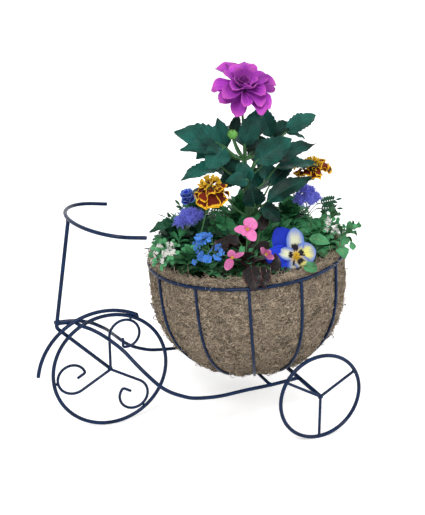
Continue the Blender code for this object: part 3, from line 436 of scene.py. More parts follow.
def rod_rings(path, diameter, sides=16):
    """Rings for a rod with slightly rounded cut ends, proud of its solid by the weld's fill."""
    path = [Vector(p) for p in path]
    radius = diameter / 2 + WELD_FILL
    inset, widths = (0.0, 0.12, 0.35), (0.62, 0.88, 1.0)
    first, last = (path[1] - path[0]).normalized(), (path[-2] - path[-1]).normalized()
    starts = [path[0] + first * radius * step for step in inset]
    ends = [path[-1] + last * radius * step for step in inset[::-1]]
    inner = [p for p in path[1:-1] if (p - path[0]).length > radius * 0.5
             and (p - path[-1]).length > radius * 0.5]
    sizes = np.array([*widths, *[1.0] * len(inner), *widths[::-1]]) * radius
    return rings_on(starts + inner + ends, sizes, sides)


def strand(points, radius, sides=5):
    """A thin tapering stem through a few points."""
    points = smooth_path([Vector(p) for p in points], 4)
    taper = np.linspace(1.0, 0.55, len(points)) * radius
    return rings_on(points, taper, sides)


def rounded(points, bend, steps):
    """The polyline with each inner corner turned on an arc of the bend radius."""
    points = [Vector(p) for p in points]
    out = [points[0]]
    for before, corner, after in zip(points, points[1:], points[2:]):
        back, ahead = (before - corner).normalized(), (after - corner).normalized()
        half = acos(max(-1.0, min(1.0, back.dot(ahead)))) / 2
        reach = bend / tan(half)
        centre = corner + (back + ahead).normalized() * (bend / sin(half))
        start, end = corner + back * reach - centre, corner + ahead * reach - centre
        sweep = start.angle(end)
        for k in range(steps + 1):
            along = k / steps
            mix = start * sin((1 - along) * sweep) + end * sin(along * sweep)
            out.append(centre + mix / sin(sweep))
    return out + [points[-1]]


def smooth_path(points, steps):
    """A Catmull-Rom curve through the points."""
    points = [Vector(p) for p in points]
    ends = [2 * points[0] - points[1]] + points + [2 * points[-1] - points[-2]]
    out = []
    for a, b, c, d in zip(ends, ends[1:], ends[2:], ends[3:]):
        for k in range(steps):
            t = k / steps
            out.append(0.5 * ((2 * b) + (c - a) * t + (2 * a - 5 * b + 4 * c - d) * t * t
                              + (3 * b - a - 3 * c + d) * t ** 3))
    return out + [points[-1]]


def circle(centre, radius, first, second, steps):
    centre, first, second = Vector(centre), Vector(first), Vector(second)
    return [centre + (first * cos(2 * pi * k / steps) + second * sin(2 * pi * k / steps)) * radius
            for k in range(steps)]


# Outlines of leaves and petals: share of the length, then share of the half width.
OUTLINES = {
    "ovate": ((0, .06), (.06, .34), (.16, .74), (.30, .98), (.44, 1), (.60, .88), (.76, .62),
              (.90, .28), (1, .02)),
    "round": ((0, .12), (.08, .56), (.22, .90), (.42, 1), (.62, .96), (.80, .74), (.93, .42),
              (1, .10)),
    "lance": ((0, .10), (.12, .50), (.32, .92), (.50, 1), (.70, .82), (.88, .44), (1, .03)),
    "spoon": ((0, .16), (.20, .28), (.42, .60), (.64, .96), (.78, 1), (.92, .68), (1, .12)),
    "petal": ((0, .26), (.16, .46), (.36, .76), (.56, .98), (.70, 1), (.84, .76), (.94, .38),
              (1, .04)),
    "strap": ((0, .28), (.18, .52), (.38, .82), (.58, .98), (.74, 1), (.86, .88), (.95, .56),
              (1, .06)),
    "fan": ((0, .10), (.25, .34), (.52, .70), (.74, .96), (.88, 1), (.97, .90), (1, .80)),
}


def blade(size, half_width, outline, along=12, across=6, fold=0.0, cup=0.0, curl=0.0,
          ruffle=0.0, waves=3.0, teeth=0.0, tooth_count=9, phase=0.0):
    """A leaf or petal along +Y from its foot, its upper side to +Z, its tip on the Y axis."""
    if teeth:
        along = tooth_count * 3
    u = np.linspace(0, 1, along + 1)[:, None]
    v = np.linspace(-1, 1, across + 1)[None, :]
    where, widths = zip(*OUTLINES[outline])
    width = half_width * np.interp(u, where, widths)
    saw = (u * tooth_count) % 1.0
    jag = teeth * (saw - 0.35) * np.sin(pi * np.clip(u * 1.1, 0, 1))
    width = width * (1 + jag * np.abs(v) ** 3)
    x = width * v
    z = fold * np.abs(x) + cup * x * x / max(half_width, 1e-9)
    z = z + ruffle * size * np.abs(v) ** 2 * np.sin(waves * 2 * pi * u + phase + (v > 0) * 1.9)
    turn = curl * (u - 0.5)
    step = 1 / along
    spine_y = np.concatenate([[[0]], np.cumsum(np.cos(turn[:-1] + curl * step / 2), 0) * step])
    spine_z = np.concatenate([[[0]], np.cumsum(np.sin(turn[:-1] + curl * step / 2), 0) * step])
    grid = np.stack([x, size * spine_y - z * np.sin(turn), size * spine_z + z * np.cos(turn)], -1)
    grid[..., 1] += teeth * size * 0.05 * saw * np.abs(v) ** 3
    reach = hypot(spine_y[-1, 0], spine_z[-1, 0])
    grid[..., 1:] /= reach
    return grid


# Shader nodes.

def add_node(tree, kind, inputs=(), **settings):
    """A node with its settings, and its inputs either linked or set."""
    node = tree.nodes.new(f"ShaderNode{kind}")
    for key, value in settings.items():
        setattr(node, key, value)
    for key, value in dict(inputs).items():
        socket = node.inputs[key]
        if isinstance(value, bpy.types.NodeSocket):
            tree.links.new(value, socket)
        else:
            socket.default_value = (*value[:3], 1.0) if socket.type == "RGBA" else value
    return node


def sums(tree, operation, first, second=0.5, third=0.5, clamp=False):
    """One sum of up to three values."""
    return add_node(tree, "Math", {0: first, 1: second, 2: third},
                    operation=operation, use_clamp=clamp).outputs[0]


def times(tree, first, second):
    return sums(tree, "MULTIPLY", first, second)


def between(tree, value, low, high, to_low=0.0, to_high=1.0):
    """The value's place between low and high, eased and held at both ends."""
    node = add_node(tree, "MapRange",
                    {"Value": value, "From Min": low, "From Max": high, "To Min": to_low,
                     "To Max": to_high}, interpolation_type="SMOOTHSTEP")
    return node.outputs["Result"]


def blended(tree, share, first, second):
    """Two colours mixed by a share."""
    return add_node(tree, "Mix", {0: share, 6: first, 7: second},
                    data_type="RGBA").outputs[2]


def noise_at(tree, place, scale, detail=3.0, roughness=0.55, distortion=0.0):
    return add_node(tree, "TexNoise", {
        "Vector": place, "Scale": scale, "Detail": detail, "Roughness": roughness,
        "Distortion": distortion})


def new_group(name, inputs, outputs):
    """An empty group with named scalar sockets: (group, its inputs, its output node)."""
    group = bpy.data.node_groups.new(name, "ShaderNodeTree")
    for label, value in inputs.items():
        socket = group.interface.new_socket(name=label, in_out="INPUT",
                                            socket_type="NodeSocketFloat")
        socket.default_value = value
    for label in outputs:
        group.interface.new_socket(name=label, in_out="OUTPUT", socket_type="NodeSocketFloat")
    return group, group.nodes.new("NodeGroupInput").outputs, group.nodes.new("NodeGroupOutput")


def give(group, out, **values):
    for name, value in values.items():
        group.links.new(value, out.inputs[name])


def own_layout(group):
    """A leaf's or petal's own layout: (UV, share along, distance from the middle line)."""
    lay = add_node(group, "UVMap", uv_map="lay").outputs["UV"]
    parts = add_node(group, "SeparateXYZ", {0: lay})
    aside = sums(group, "ABSOLUTE", sums(group, "MULTIPLY_ADD", parts.outputs["Y"], 2.0, -1.0))
    return lay, parts.outputs["X"], aside


def make_groups():
    """Effects that several finishes share."""
    # Mottling: slow and fine noise in the object's own space.
    group, given, out = new_group("mottling", {"Scale": 200.0, "Contrast": 0.5}, ("Mask", "Grain"))
    place = add_node(group, "TexCoord").outputs["Object"]
    slow = noise_at(group, place, given["Scale"])
    fine = noise_at(group, place, times(group, given["Scale"], 7.0), 2.0)
    low = times(group, given["Contrast"], 0.4)
    mask = between(group, slow.outputs["Fac"], low, sums(group, "SUBTRACT", 1.0, low))
    give(group, out, Mask=mask, Grain=fine.outputs["Fac"])

    # Leaf veins: a midrib and slanting side veins.
    group, given, out = new_group(
        "leaf veins", {"Side Veins": 9.0, "Slant": 0.35, "Midrib": 0.10},
        ("Veins", "Edge", "Blister"))
    _, along, aside = own_layout(group)
    rib = between(group, aside, given["Midrib"], 0.0)
    run = sums(group, "SUBTRACT", along, times(group, aside, given["Slant"]))
    pitch = times(group, given["Side Veins"], 2 * pi)
    wave = sums(group, "COSINE", times(group, run, pitch))
    side = times(group, between(group, wave, 0.86, 1.0, 0.0, 0.7),
                between(group, aside, 0.98, 0.55))
    give(group, out, Veins=sums(group, "MAXIMUM", rib, side, clamp=True),
         Edge=between(group, aside, 0.82, 1.0), Blister=between(group, wave, 1.0, -1.0))

    # Petal streaks: fine lines that run from foot to tip, and masks of the petal's parts.
    group, given, out = new_group("petal streaks", {"Lines": 26.0, "Tint": 0.5},
                                  ("Streak", "Tip", "Foot", "Rim", "Side", "Blotch"))
    lay, along, aside = own_layout(group)
    stretch = add_node(group, "CombineXYZ", {"X": 1.2, "Y": given["Lines"], "Z": 1.0})
    lined = add_node(group, "VectorMath", {0: lay, 1: stretch.outputs[0]},
                     operation="MULTIPLY")
    shift = times(group, given["Tint"], 40.0)
    away = add_node(group, "CombineXYZ", {"Z": shift})
    offset = add_node(group, "VectorMath", {0: lined.outputs[0], 1: away.outputs[0]},
                      operation="ADD")
    lines = noise_at(group, offset.outputs[0], 1.0, 2.0).outputs["Fac"]
    ragged = sums(group, "MULTIPLY_ADD", lines, 0.3, sums(group, "SUBTRACT", along, 0.15))
    rim = times(group, between(group, aside, 0.82, 0.92), between(group, along, 0.3, 0.5))
    near = times(group, between(group, ragged, 0.08, 0.16),
                between(group, ragged, 0.42, 0.34))
    give(group, out, Streak=between(group, lines, 0.3, 0.7),
         Rim=sums(group, "MAXIMUM", between(group, ragged, 0.88, 0.93), rim),
         Side=sums(group, "MAXIMUM", between(group, aside, 0.25, 1.0),
                   between(group, ragged, 0.55, 1.05)),
         Blotch=times(group, near, between(group, aside, 0.62, 0.40)),
         Tip=between(group, along, 0.72, 1.0), Foot=between(group, along, 0.30, 0.0))


def placed_group(tree, name, **inputs):
    """A shared effect, its inputs named with underscores."""
    return add_node(tree, "Group", {key.replace("_", " ").title(): value
                                              for key, value in inputs.items()},
                    node_tree=bpy.data.node_groups[name])


def new_finish(name, roughness=0.6, **constants):
    """A new material's tree, its Principled shader and its tint socket."""
    finish = bpy.data.materials.new(name)
    finish.use_nodes = True
    tree = finish.node_tree
    shader = tree.nodes["Principled BSDF"]
    for key, value in dict(constants, Roughness=roughness).items():
        shader.inputs[key.replace("_", " ")].default_value = value
    tint = add_node(tree, "Attribute", attribute_name="tint").outputs["Fac"]
    return tree, shader, tint


def dress(tree, shader, base, rough, height, depth, strength):
    """Links a finish's colour, its roughness from a mask and its relief."""
    bump = add_node(tree, "Bump", {"Height": height, "Distance": depth,
                                             "Strength": strength})
    for name, value in (("Base Color", base), ("Roughness", between(tree, *rough)),
                        ("Normal", bump.outputs["Normal"])):
        tree.links.new(value, shader.inputs[name])


def darker(value, share):
    return tuple(min(1.0, c * share) for c in value[:3])


def finish_of(name):
    return bpy.data.materials[name]


def powder_coat(name, paint, dust):
    """Slightly uneven coat with specks of dust."""
    tree, shader, _ = new_finish(name, 0.3, Coat_Roughness=0.18, IOR=1.5, Specular_IOR_Level=0.16)
    mottle = placed_group(tree, "mottling", scale=60.0, contrast=0.7).outputs["Mask"]
    peel = placed_group(tree, "mottling", scale=260.0, contrast=0.4)
    deep = blended(tree, mottle, paint, darker(paint, 1.7))
    specks = between(tree, peel.outputs["Grain"], 0.66, 0.76, 0.0, 0.35)
    tree.links.new(between(tree, peel.outputs["Mask"], 0.0, 1.0, 0.0, 0.12),
                   shader.inputs["Coat Weight"])
    height = sums(tree, "MULTIPLY_ADD", peel.outputs["Grain"], 0.35, peel.outputs["Mask"])
    dress(tree, shader, blended(tree, specks, deep, dust), (mottle, 0.0, 1.0, 0.26, 0.42), height,
          0.0002, 0.35)


def coco_fibre(name, dark, light):
    """Tangled fibres: wandering bright lines over finer strands."""
    tree, shader, tint = new_finish(name, 0.9, Specular_IOR_Level=0.2)
    mottle = placed_group(tree, "mottling", scale=90.0, contrast=0.6)
    place = add_node(tree, "TexCoord").outputs["Object"]
    strands = noise_at(tree, place, 420.0, 4.0, 0.6, 1.4).outputs["Fac"]
    lines = 0.0
    for scale in (140.0, 200.0):
        field = noise_at(tree, place, scale, 1.0, 0.5, 1.8).outputs["Fac"]
        off = sums(tree, "ABSOLUTE", sums(tree, "SUBTRACT", field, 0.5))
        lines = sums(tree, "MAXIMUM", between(tree, off, 0.014, 0.055, 1.0, 0.0), lines)
    # Low shares give the dark fibre colour, painted shade in the gaps between strands; the lines
    # and high tints give the light fibre colour, painted light on sunlit strands.
    share = sums(tree, "MULTIPLY_ADD", between(tree, strands, 0.42, 0.60), 0.20,
                 times(tree, tint, 0.78), clamp=True)
    share = sums(tree, "MULTIPLY_ADD", lines, 0.60, sums(tree, "SUBTRACT", share, 0.09), clamp=True)
    warm = blended(tree, times(tree, mottle.outputs["Mask"], 0.12),
                   blended(tree, share, dark, light),
                   (light[0] * 0.72, light[1] * 0.60, light[2] * 0.50))
    dress(tree, shader, warm, (mottle.outputs["Grain"], 0.2, 0.8, 0.8, 1.0),
          sums(tree, "MULTIPLY_ADD", lines, 0.4, strands), 0.004, 1.0)


def soil_finish(name, tone):
    """Dark crumbs with paler chips of bark."""
    tree, shader, tint = new_finish(name, 0.95)
    mottle = placed_group(tree, "mottling", scale=150.0, contrast=0.5)
    grain = mottle.outputs["Grain"]
    body = blended(tree, mottle.outputs["Mask"], tone, darker(tone, 2.4))
    base = blended(tree, between(tree, grain, 0.6, 0.72, 0.0, 0.6), body, (0.12, 0.075, 0.045))
    dress(tree, shader, base, (tint, 0.0, 1.0, 0.85, 1.0), grain, 0.001, 0.8)


def leaf_finish(name, leaf, vein, side_veins, gloss, contrast, edge=None, bump=0.0005):
    """A leaf with a pale midrib, side veins, mottling and a tinted edge."""
    tree, shader, tint = new_finish(name, gloss, Specular_IOR_Level=0.15)
    veins = placed_group(tree, "leaf veins", side_veins=side_veins)
    mottle = placed_group(tree, "mottling", scale=110.0, contrast=0.5)
    broad = placed_group(tree, "mottling", scale=26.0, contrast=0.9)
    tint = sums(tree, "MULTIPLY_ADD", sums(tree, "SUBTRACT", broad.outputs["Mask"], 0.5), 0.7, tint,
                clamp=True)
    base = blended(tree, tint, darker(leaf, 0.22), darker(leaf, 2.7))
    sunny = (leaf[0] * 2.0, leaf[1] * 1.35, leaf[2] * 0.9)
    for mask, share, tone in ((mottle.outputs["Mask"], 0.3, sunny),
                              (veins.outputs["Blister"], 0.25, darker(leaf, 0.5)),
                              (veins.outputs["Edge"], 0.7, edge),
                              (veins.outputs["Veins"], contrast, vein)):
        if tone is not None:
            base = blended(tree, times(tree, mask, share), base, tone)
    sunk = times(tree, veins.outputs["Veins"], -1.0)
    height = sums(tree, "MULTIPLY_ADD", mottle.outputs["Grain"], 0.35, sunk)
    dress(tree, shader, base, (mottle.outputs["Grain"], 0.2, 0.8, gloss - 0.12, gloss + 0.14),
          height, bump, 0.7)


def petal_finish(name, petal, tip, foot, lines, gloss, sheen, spread, tip_share, edge="Tip",
                 blotch=None):
    """A velvety petal with fine lines, a foot of its own, and a tip or a whole rim set off."""
    tree, shader, tint = new_finish(name, gloss, Sheen_Weight=sheen, Sheen_Roughness=0.4,
                                    Specular_IOR_Level=0.15)
    streaks = placed_group(tree, "petal streaks", lines=lines, tint=tint)
    mottle = placed_group(tree, "mottling", scale=160.0, contrast=0.5)
    base = blended(tree, tint, darker(petal, 0.5), darker(petal, spread))
    for part, share, tone in (("Streak", 0.5, darker(petal, 0.5)), (edge, tip_share, tip),
                              ("Foot", 0.85, foot)):
        base = blended(tree, times(tree, streaks.outputs[part], share), base, tone)
    if blotch is not None:
        base = blended(tree, streaks.outputs["Blotch"], base, blotch)
    dress(tree, shader, base, (mottle.outputs["Grain"], 0.2, 0.8, gloss - 0.1, gloss + 0.15),
          streaks.outputs["Streak"], 0.0004, 0.55)


def stem_finish(name, stem):
    """A stalk, paler where its tint is high."""
    tree, shader, tint = new_finish(name, 0.55)
    mottle = placed_group(tree, "mottling", scale=140.0, contrast=0.5)
    base = blended(tree, mottle.outputs["Mask"], darker(stem, 0.7), darker(stem, 1.4))
    base = blended(tree, times(tree, tint, 0.3), base, darker(stem, 2.2))
    grain = mottle.outputs["Grain"]
    dress(tree, shader, base, (grain, 0.2, 0.8, 0.45, 0.7), grain, 0.0003, 0.5)


# Rods of the frame.

def wheel_point(hub, turn, distance):
    return Vector((hub.x + distance * cos(turn), hub.y, hub.z + distance * sin(turn)))


def rim_rings(wire, hub, radius, steps):
    rim = circle(hub, radius, (1, 0, 0), (0, 0, 1), steps)
    return rings_on(rim, wire.rod / 2 + WELD_FILL, 18, True, (0, 1, 0))


def rod_piece(node, rings, closed=False, place=None):
    """A rod as a piece that stands for its CAD node."""
    shape = Shape()
    shape.tube(rings, closed=closed)
    shape.piece(f"smooth_{node}", [finish_of("powder coat")], FRAME_BODY, "powder_coated_rod", node,
                place=place)


def add_bead(shape, centre, size, name):
    """A small uneven bead of weld at a place."""
    ball = globe(-0.46, 0.46, 7, 10)
    lumps = 1 + 0.16 * ripple(ball * 0.01, 0.012, name)[..., None]
    shape.tube(ball * lumps * np.asarray(size) + np.asarray(tuple(centre)))


def beads_piece(name, beads, place=None):
    """Weld beads, each a (place, size), as one piece."""
    shape = Shape()
    for number, (centre, size) in enumerate(beads):
        add_bead(shape, centre, size, f"{name}{number}")
    shape.piece(name, [finish_of("powder coat")], FRAME_BODY, "powder_coated_rod", place=place)


def scroll_path(wire, turn, rim_radius):
    """A leg out from the hub, a curl that touches the rim inside and a bent-in tail."""
    radius, half = wire.scroll_radius, wire.spoke / 2
    reach = rim_radius - wire.rod / 2 - half - radius
    leg = sqrt(reach ** 2 - radius ** 2)
    path = [Vector((run, 0, 0)) for run in (half * 1.1, leg * 0.35, leg * 0.7)]
    sweep, steps = radians(262.0), 48
    for k in range(steps + 1):
        along = k / steps
        wide = radius + (wire.scroll_end - radius) * along
        a = -pi / 2 + sweep * along
        path.append(Vector((leg + wide * cos(a), radius + wide * sin(a), 0)))
    down = path[-1] - Vector((0, 2 * wire.tail_bend, 0))
    tail = [path[-1], down, down + Vector((wire.scroll_tail, 0, 0))]
    path += rounded(tail, wire.tail_bend, 7)[2:]
    plane = -(wire.rod / 2 + wire.gap + half)
    return [Vector((FRONT_HUB.x + cos(turn) * p.x + sin(turn) * p.y, plane,
                    FRONT_HUB.z + sin(turn) * p.x - cos(turn) * p.y)) for p in path]


class PLANTER_OT_front_wheel(bpy.types.Operator):
    """Front rim with its three scroll spokes and the mudguard arc"""

    bl_idname = "planter.front_wheel"
    bl_label = "Front Wheel"

    def execute(self, context):
        wire = context.scene.planter_wire
        radius = FRONT_HUB.z - wire.rod / 2
        rod_piece("front_wheel_rim", rim_rings(wire, FRONT_HUB, radius, 120), True)
        beads = [((FRONT_HUB.x, -0.0022, FRONT_HUB.z), (0.0042, 0.0026, 0.0042)),
                 ((FRONT_HUB.x, 0.0006, FRONT_HUB.z), (0.0036, 0.0030, 0.0036))]
        for k in range(SPOKES):
            path = scroll_path(wire, pi / 2 + 2 * pi * k / SPOKES, radius)
            rod_piece(f"scroll_spoke_{k + 1}", rod_rings(path, wire.spoke, 14))
            hub = Vector((FRONT_HUB.x, path[0].y, FRONT_HUB.z))
            far = max(path, key=lambda p: (p - hub).length)
            spot = far + (far - hub).normalized() * wire.spoke * 0.45
            beads.append(((spot.x, (spot.y + FRONT_HUB.y) / 2, spot.z), (0.0024, 0.0024, 0.0024)))
        pitch = wire.rod + wire.gap
        offset = (wire.arc_radius - radius - pitch) / cos(wire.arc_touch - wire.arc_lean)
        centre = wheel_point(FRONT_HUB, wire.arc_lean + pi, offset)
        steps = 48
        arc = [wheel_point(centre, wire.arc_touch + (wire.arc_end - wire.arc_touch) * k / steps,
                           wire.arc_radius) for k in range(steps + 1)]
        rod_piece("mudguard_arc", rod_rings(arc, wire.rod, 18))
        foot = wheel_point(FRONT_HUB, wire.arc_touch + 0.03, radius + pitch / 2)
        beads.append((foot, (0.0042, 0.0020, 0.0024)))
        beads_piece("front_wheel_welds", beads)
        return {"FINISHED"}


class PLANTER_OT_steering(bpy.types.Operator):
    """Stem and fork as one bent rod, and the bowed handlebar across its top"""

    bl_idname = "planter.steering"
    bl_label = "Stem and Handlebar"

    def execute(self, context):
        wire = context.scene.planter_wire
        lean = atan2(wire.crown_ahead - wire.stem_ahead, wire.bar_height - wire.crown_height)
        top = Vector((FRONT_HUB.x - wire.stem_ahead, 0, wire.bar_height))
        end = top - Vector((0, 0, wire.rod / 2 * (1 + sin(lean)) + wire.gap))
        crown = Vector((FRONT_HUB.x - wire.crown_ahead, 0, wire.crown_height))
        path = rounded([end, crown, (FRONT_HUB.x, 0, FRONT_HUB.z)], wire.crown_bend, 12)
        rod_piece("stem_and_fork", rod_rings(path, wire.rod, 18))
        bow, half, steps = wire.bar_bow, wire.bar_half_width, 44
        turns = [pi / 2 + pi * k / steps for k in range(steps + 1)]
        grip = bow + wire.bar_grip
        arc = [(bow * (1 + cos(a)), half * sin(a)) for a in turns]
        points = [top + Vector((back * cos(wire.bar_fall), across, -back * sin(wire.bar_fall)))
                  for back, across in [(grip, half), *arc, (grip, -half)]]
        rod_piece("handlebar", rod_rings(points, wire.rod, 18))
        beads_piece("steering_welds", [
            (top - Vector((0, 0, wire.rod * 0.5)), (0.0036, 0.0036, 0.0026)),
            ((stem_place(wire).x + wire.rod * 0.45, wire.rod * 0.1, wire.rail_high),
             (0.003, 0.0046, 0.0034))])
        return {"FINISHED"}


def stem_place(wire):
    """The stem's middle at the height where the rails meet it."""
    run = (wire.bar_height - wire.rail_high) / (wire.bar_height - wire.crown_height)
    ahead = wire.stem_ahead + (wire.crown_ahead - wire.stem_ahead) * run
    return Vector((FRONT_HUB.x - ahead, 0, wire.rail_high))


def rail_path(wire, near):
    """A side rail: beside its mate at the stem, then out and down to the axle."""
    pitch, stem = wire.rod + wire.gap, stem_place(wire)
    start = stem.x + pitch / 2 + wire.gap * 3
    end = REAR_HUBS["near"].x - wire.axle / 2 - wire.gap
    points = []
    for run, spread, height in RAIL_SHARES:
        aside = wire.rail_spread * spread
        aside = -aside if near else max(aside, pitch + wire.gap)
        level = wire.rail_low + (wire.rail_high - wire.rail_low) * height
        points.append(Vector((start + (end - start) * run, aside, level)))
    points[-1].z = REAR_HUBS["near"].z
    if not near:
        points[0].x = stem.x - 3.0 * MM
    return smooth_path(points, 5)


class PLANTER_OT_chassis(bpy.types.Operator):
    """Two side rails that sweep out and down from the stem, and the cross bar between them"""

    bl_idname = "planter.chassis"
    bl_label = "Rails and Cross Bar"

    def execute(self, context):
        wire = context.scene.planter_wire
        beads = []
        for side in ("near", "far"):
            path = rail_path(wire, side == "near")
            rod_piece(f"{side}_side_rail", rod_rings(path, wire.rod, 18))
            out = -1 if side == "near" else 1
            beads.append((path[-1] + Vector((0.0015, 0, 0)), (0.0026, 0.0036, 0.0034)))
            beads.append(((CROSS_BAR.x, out * (wire.rail_spread - wire.rod * 0.42), CROSS_BAR.z),
                          (0.0034, 0.0022, 0.0032)))
        reach = wire.rail_spread - wire.rod / 2 - wire.gap
        ends = [CROSS_BAR + Vector((0, reach * s / 4, 0)) for s in (-4, -2, 0, 2, 4)]
        rod_piece("cross_bar", rod_rings(ends, wire.cross_bar, 16))
        beads_piece("rail_welds", beads)
        return {"FINISHED"}


class PLANTER_OT_rear_wheels(bpy.types.Operator):
    """Rear axle and both rear wheels with three straight spokes each"""

    bl_idname = "planter.rear_wheels"
    bl_label = "Rear Wheels"

    def execute(self, context):
        wire, beads = context.scene.planter_wire, []
        near, far = REAR_HUBS["near"], REAR_HUBS["far"]
        half = (far - near).length / 2 - wire.spoke / 2 - wire.gap
        ends = [(near + far) / 2 + Vector((0, half * s / 4, 0)) for s in range(-4, 5)]
        rod_piece("rear_axle", rod_rings(ends, wire.axle, 18))
        radius = near.z - wire.rod / 2
        for side, hub in REAR_HUBS.items():
            rod_piece(f"{side}_rear_rim", rim_rings(wire, hub, radius, 100), True)
            for k in range(SPOKES):
                turn = -pi / 2 + 2 * pi * k / SPOKES
                stops = np.linspace(wire.spoke * 0.6, radius - wire.rod / 2, 6)
                path = [wheel_point(hub, turn, r) for r in stops]
                rod_piece(f"{side}_rear_spoke_{k + 1}", rod_rings(path, wire.spoke, 14))
                spot = wheel_point(hub, turn, radius - wire.rod * 0.46)
                beads.append((spot, (0.0027, 0.0024, 0.0027)))
            beads.append((hub, (0.0040, 0.0028, 0.0040)))
        beads_piece("rear_wheel_welds", beads)
        return {"FINISHED"}


# Basket.

def bowl_radius(basket, below):
    """The ribs' distance from the axis at a depth below the ring."""
    deep = min(1.0, max(0.0, below / BASKET_DEPTH))
    side = (1 - deep ** basket.side_power) ** (1 / basket.floor_power)
    return basket.floor_radius + (basket.radius - basket.floor_radius) * side


def bowl_profile(basket, steps):
    """(radius, height from the ring) down the ribs, closer set near the floor."""
    depths = [BASKET_DEPTH * sin(pi / 2 * k / steps) for k in range(steps + 1)]
    return [(bowl_radius(basket, d), -d) for d in depths]


class PLANTER_OT_basket(bpy.types.Operator):
    """Basket of a top ring, twelve curved ribs and a small ring under the floor"""

    bl_idname = "planter.basket"
    bl_label = "Basket"

    def execute(self, context):
        basket, wire = context.scene.planter_basket, context.scene.planter_wire
        for name, level, radius, tube, steps, sides in (
                ("basket_ring", 0, basket.radius, basket.ring / 2 + WELD_FILL, 160, 16),
                ("basket_foot_ring", -BASKET_DEPTH, basket.foot_radius, basket.rib / 2, 64, 14)):
            ring = circle((0, 0, level), radius, (1, 0, 0), (0, 1, 0), steps)
            rod_piece(name, rings_on(ring, tube, sides, True, (0, 0, 1)), True, BASKET_FRAME)
        inner = basket.foot_radius + basket.rib + wire.gap
        profile = [(basket.radius, -basket.ring / 2 - wire.gap)]
        profile += bowl_profile(basket, 26)[1:] + [(inner, -BASKET_DEPTH)]
        beads = []
        for k in range(basket.ribs):
            a = basket.first_rib + 2 * pi * k / basket.ribs
            path = [(r * cos(a), r * sin(a), z) for r, z in profile]
            rod_piece(f"basket_rib_{k + 1:02d}", rod_rings(path, basket.rib, 14),
                      place=BASKET_FRAME)
            beads.append(((basket.radius * cos(a), basket.radius * sin(a), -basket.ring * 0.5),
                          (0.0030, 0.0030, 0.0021)))
        beads_piece("basket_welds", beads, BASKET_FRAME)
        return {"FINISHED"}


# Liner and soil.

SOIL_CLEARANCE = 0.6 * MM
SOIL_CRUMBS = 260


def inset_profile(profile, inset):
    """The profile moved inwards, square to itself."""
    out = []
    befores, afters = profile[:1] + profile, profile[1:] + profile[-1:]
    for (r0, h0), (radius, height), (r1, h1) in zip(befores, profile, afters):
        run, fall = r0 - r1, h0 - h1
        size = hypot(run, fall)
        out.append((radius - inset * fall / size, height + inset * run / size))
    return out


def mat_lines(basket):
    """Outer and inner (radius, height) lines of the mat, both from its edge down."""
    inset = basket.rib / 2 + 0.5 * MM
    widest = basket.radius - basket.ring / 2 - 0.8 * MM
    outer = [(min(r, widest), z) for r, z in inset_profile(bowl_profile(basket, 30), inset)]
    return outer, inset_profile(outer, basket.thickness)


def rib_distance(basket, turn):
    """0 at a rib and 1 midway between two."""
    return (0.5 - 0.5 * np.cos(basket.ribs * (turn - basket.first_rib))) ** 1.3


def rising(line):
    """Heights and radii of a mat line, from below."""
    line = np.array(line)[::-1]
    return line[:, 1], line[:, 0]


def mat_surface(basket, turn, below):
    """Points and outward directions on the mat's outer side, at turns and depths."""
    heights, radii = rising(mat_lines(basket)[0])
    step = 0.002
    slope = np.interp(-below + step, heights, radii) - np.interp(-below - step, heights, radii)
    lean = np.arctan2(slope, 2 * step)
    out = turned(turn, np.cos(lean), -np.sin(lean))
    deep = np.clip(below / BASKET_DEPTH, 0, 1)
    swell = basket.bulge * rib_distance(basket, turn) * np.sin(
        pi * np.clip(deep * 0.78 + 0.08, 0, 1)) ** 0.6 * np.clip(below / 0.008, 0, 1)
    point = turned(turn, np.interp(-below, heights, radii), -below)
    lumps = ripple(point, 0.032, "mat lumps") * 0.0011 * np.clip(below / 0.006, 0, 1)
    flare = np.clip(-below / basket.stand, 0, 1) ** 2 * 0.0015
    return point + out * (swell + lumps)[..., None] + turned(turn) * flare[..., None], out


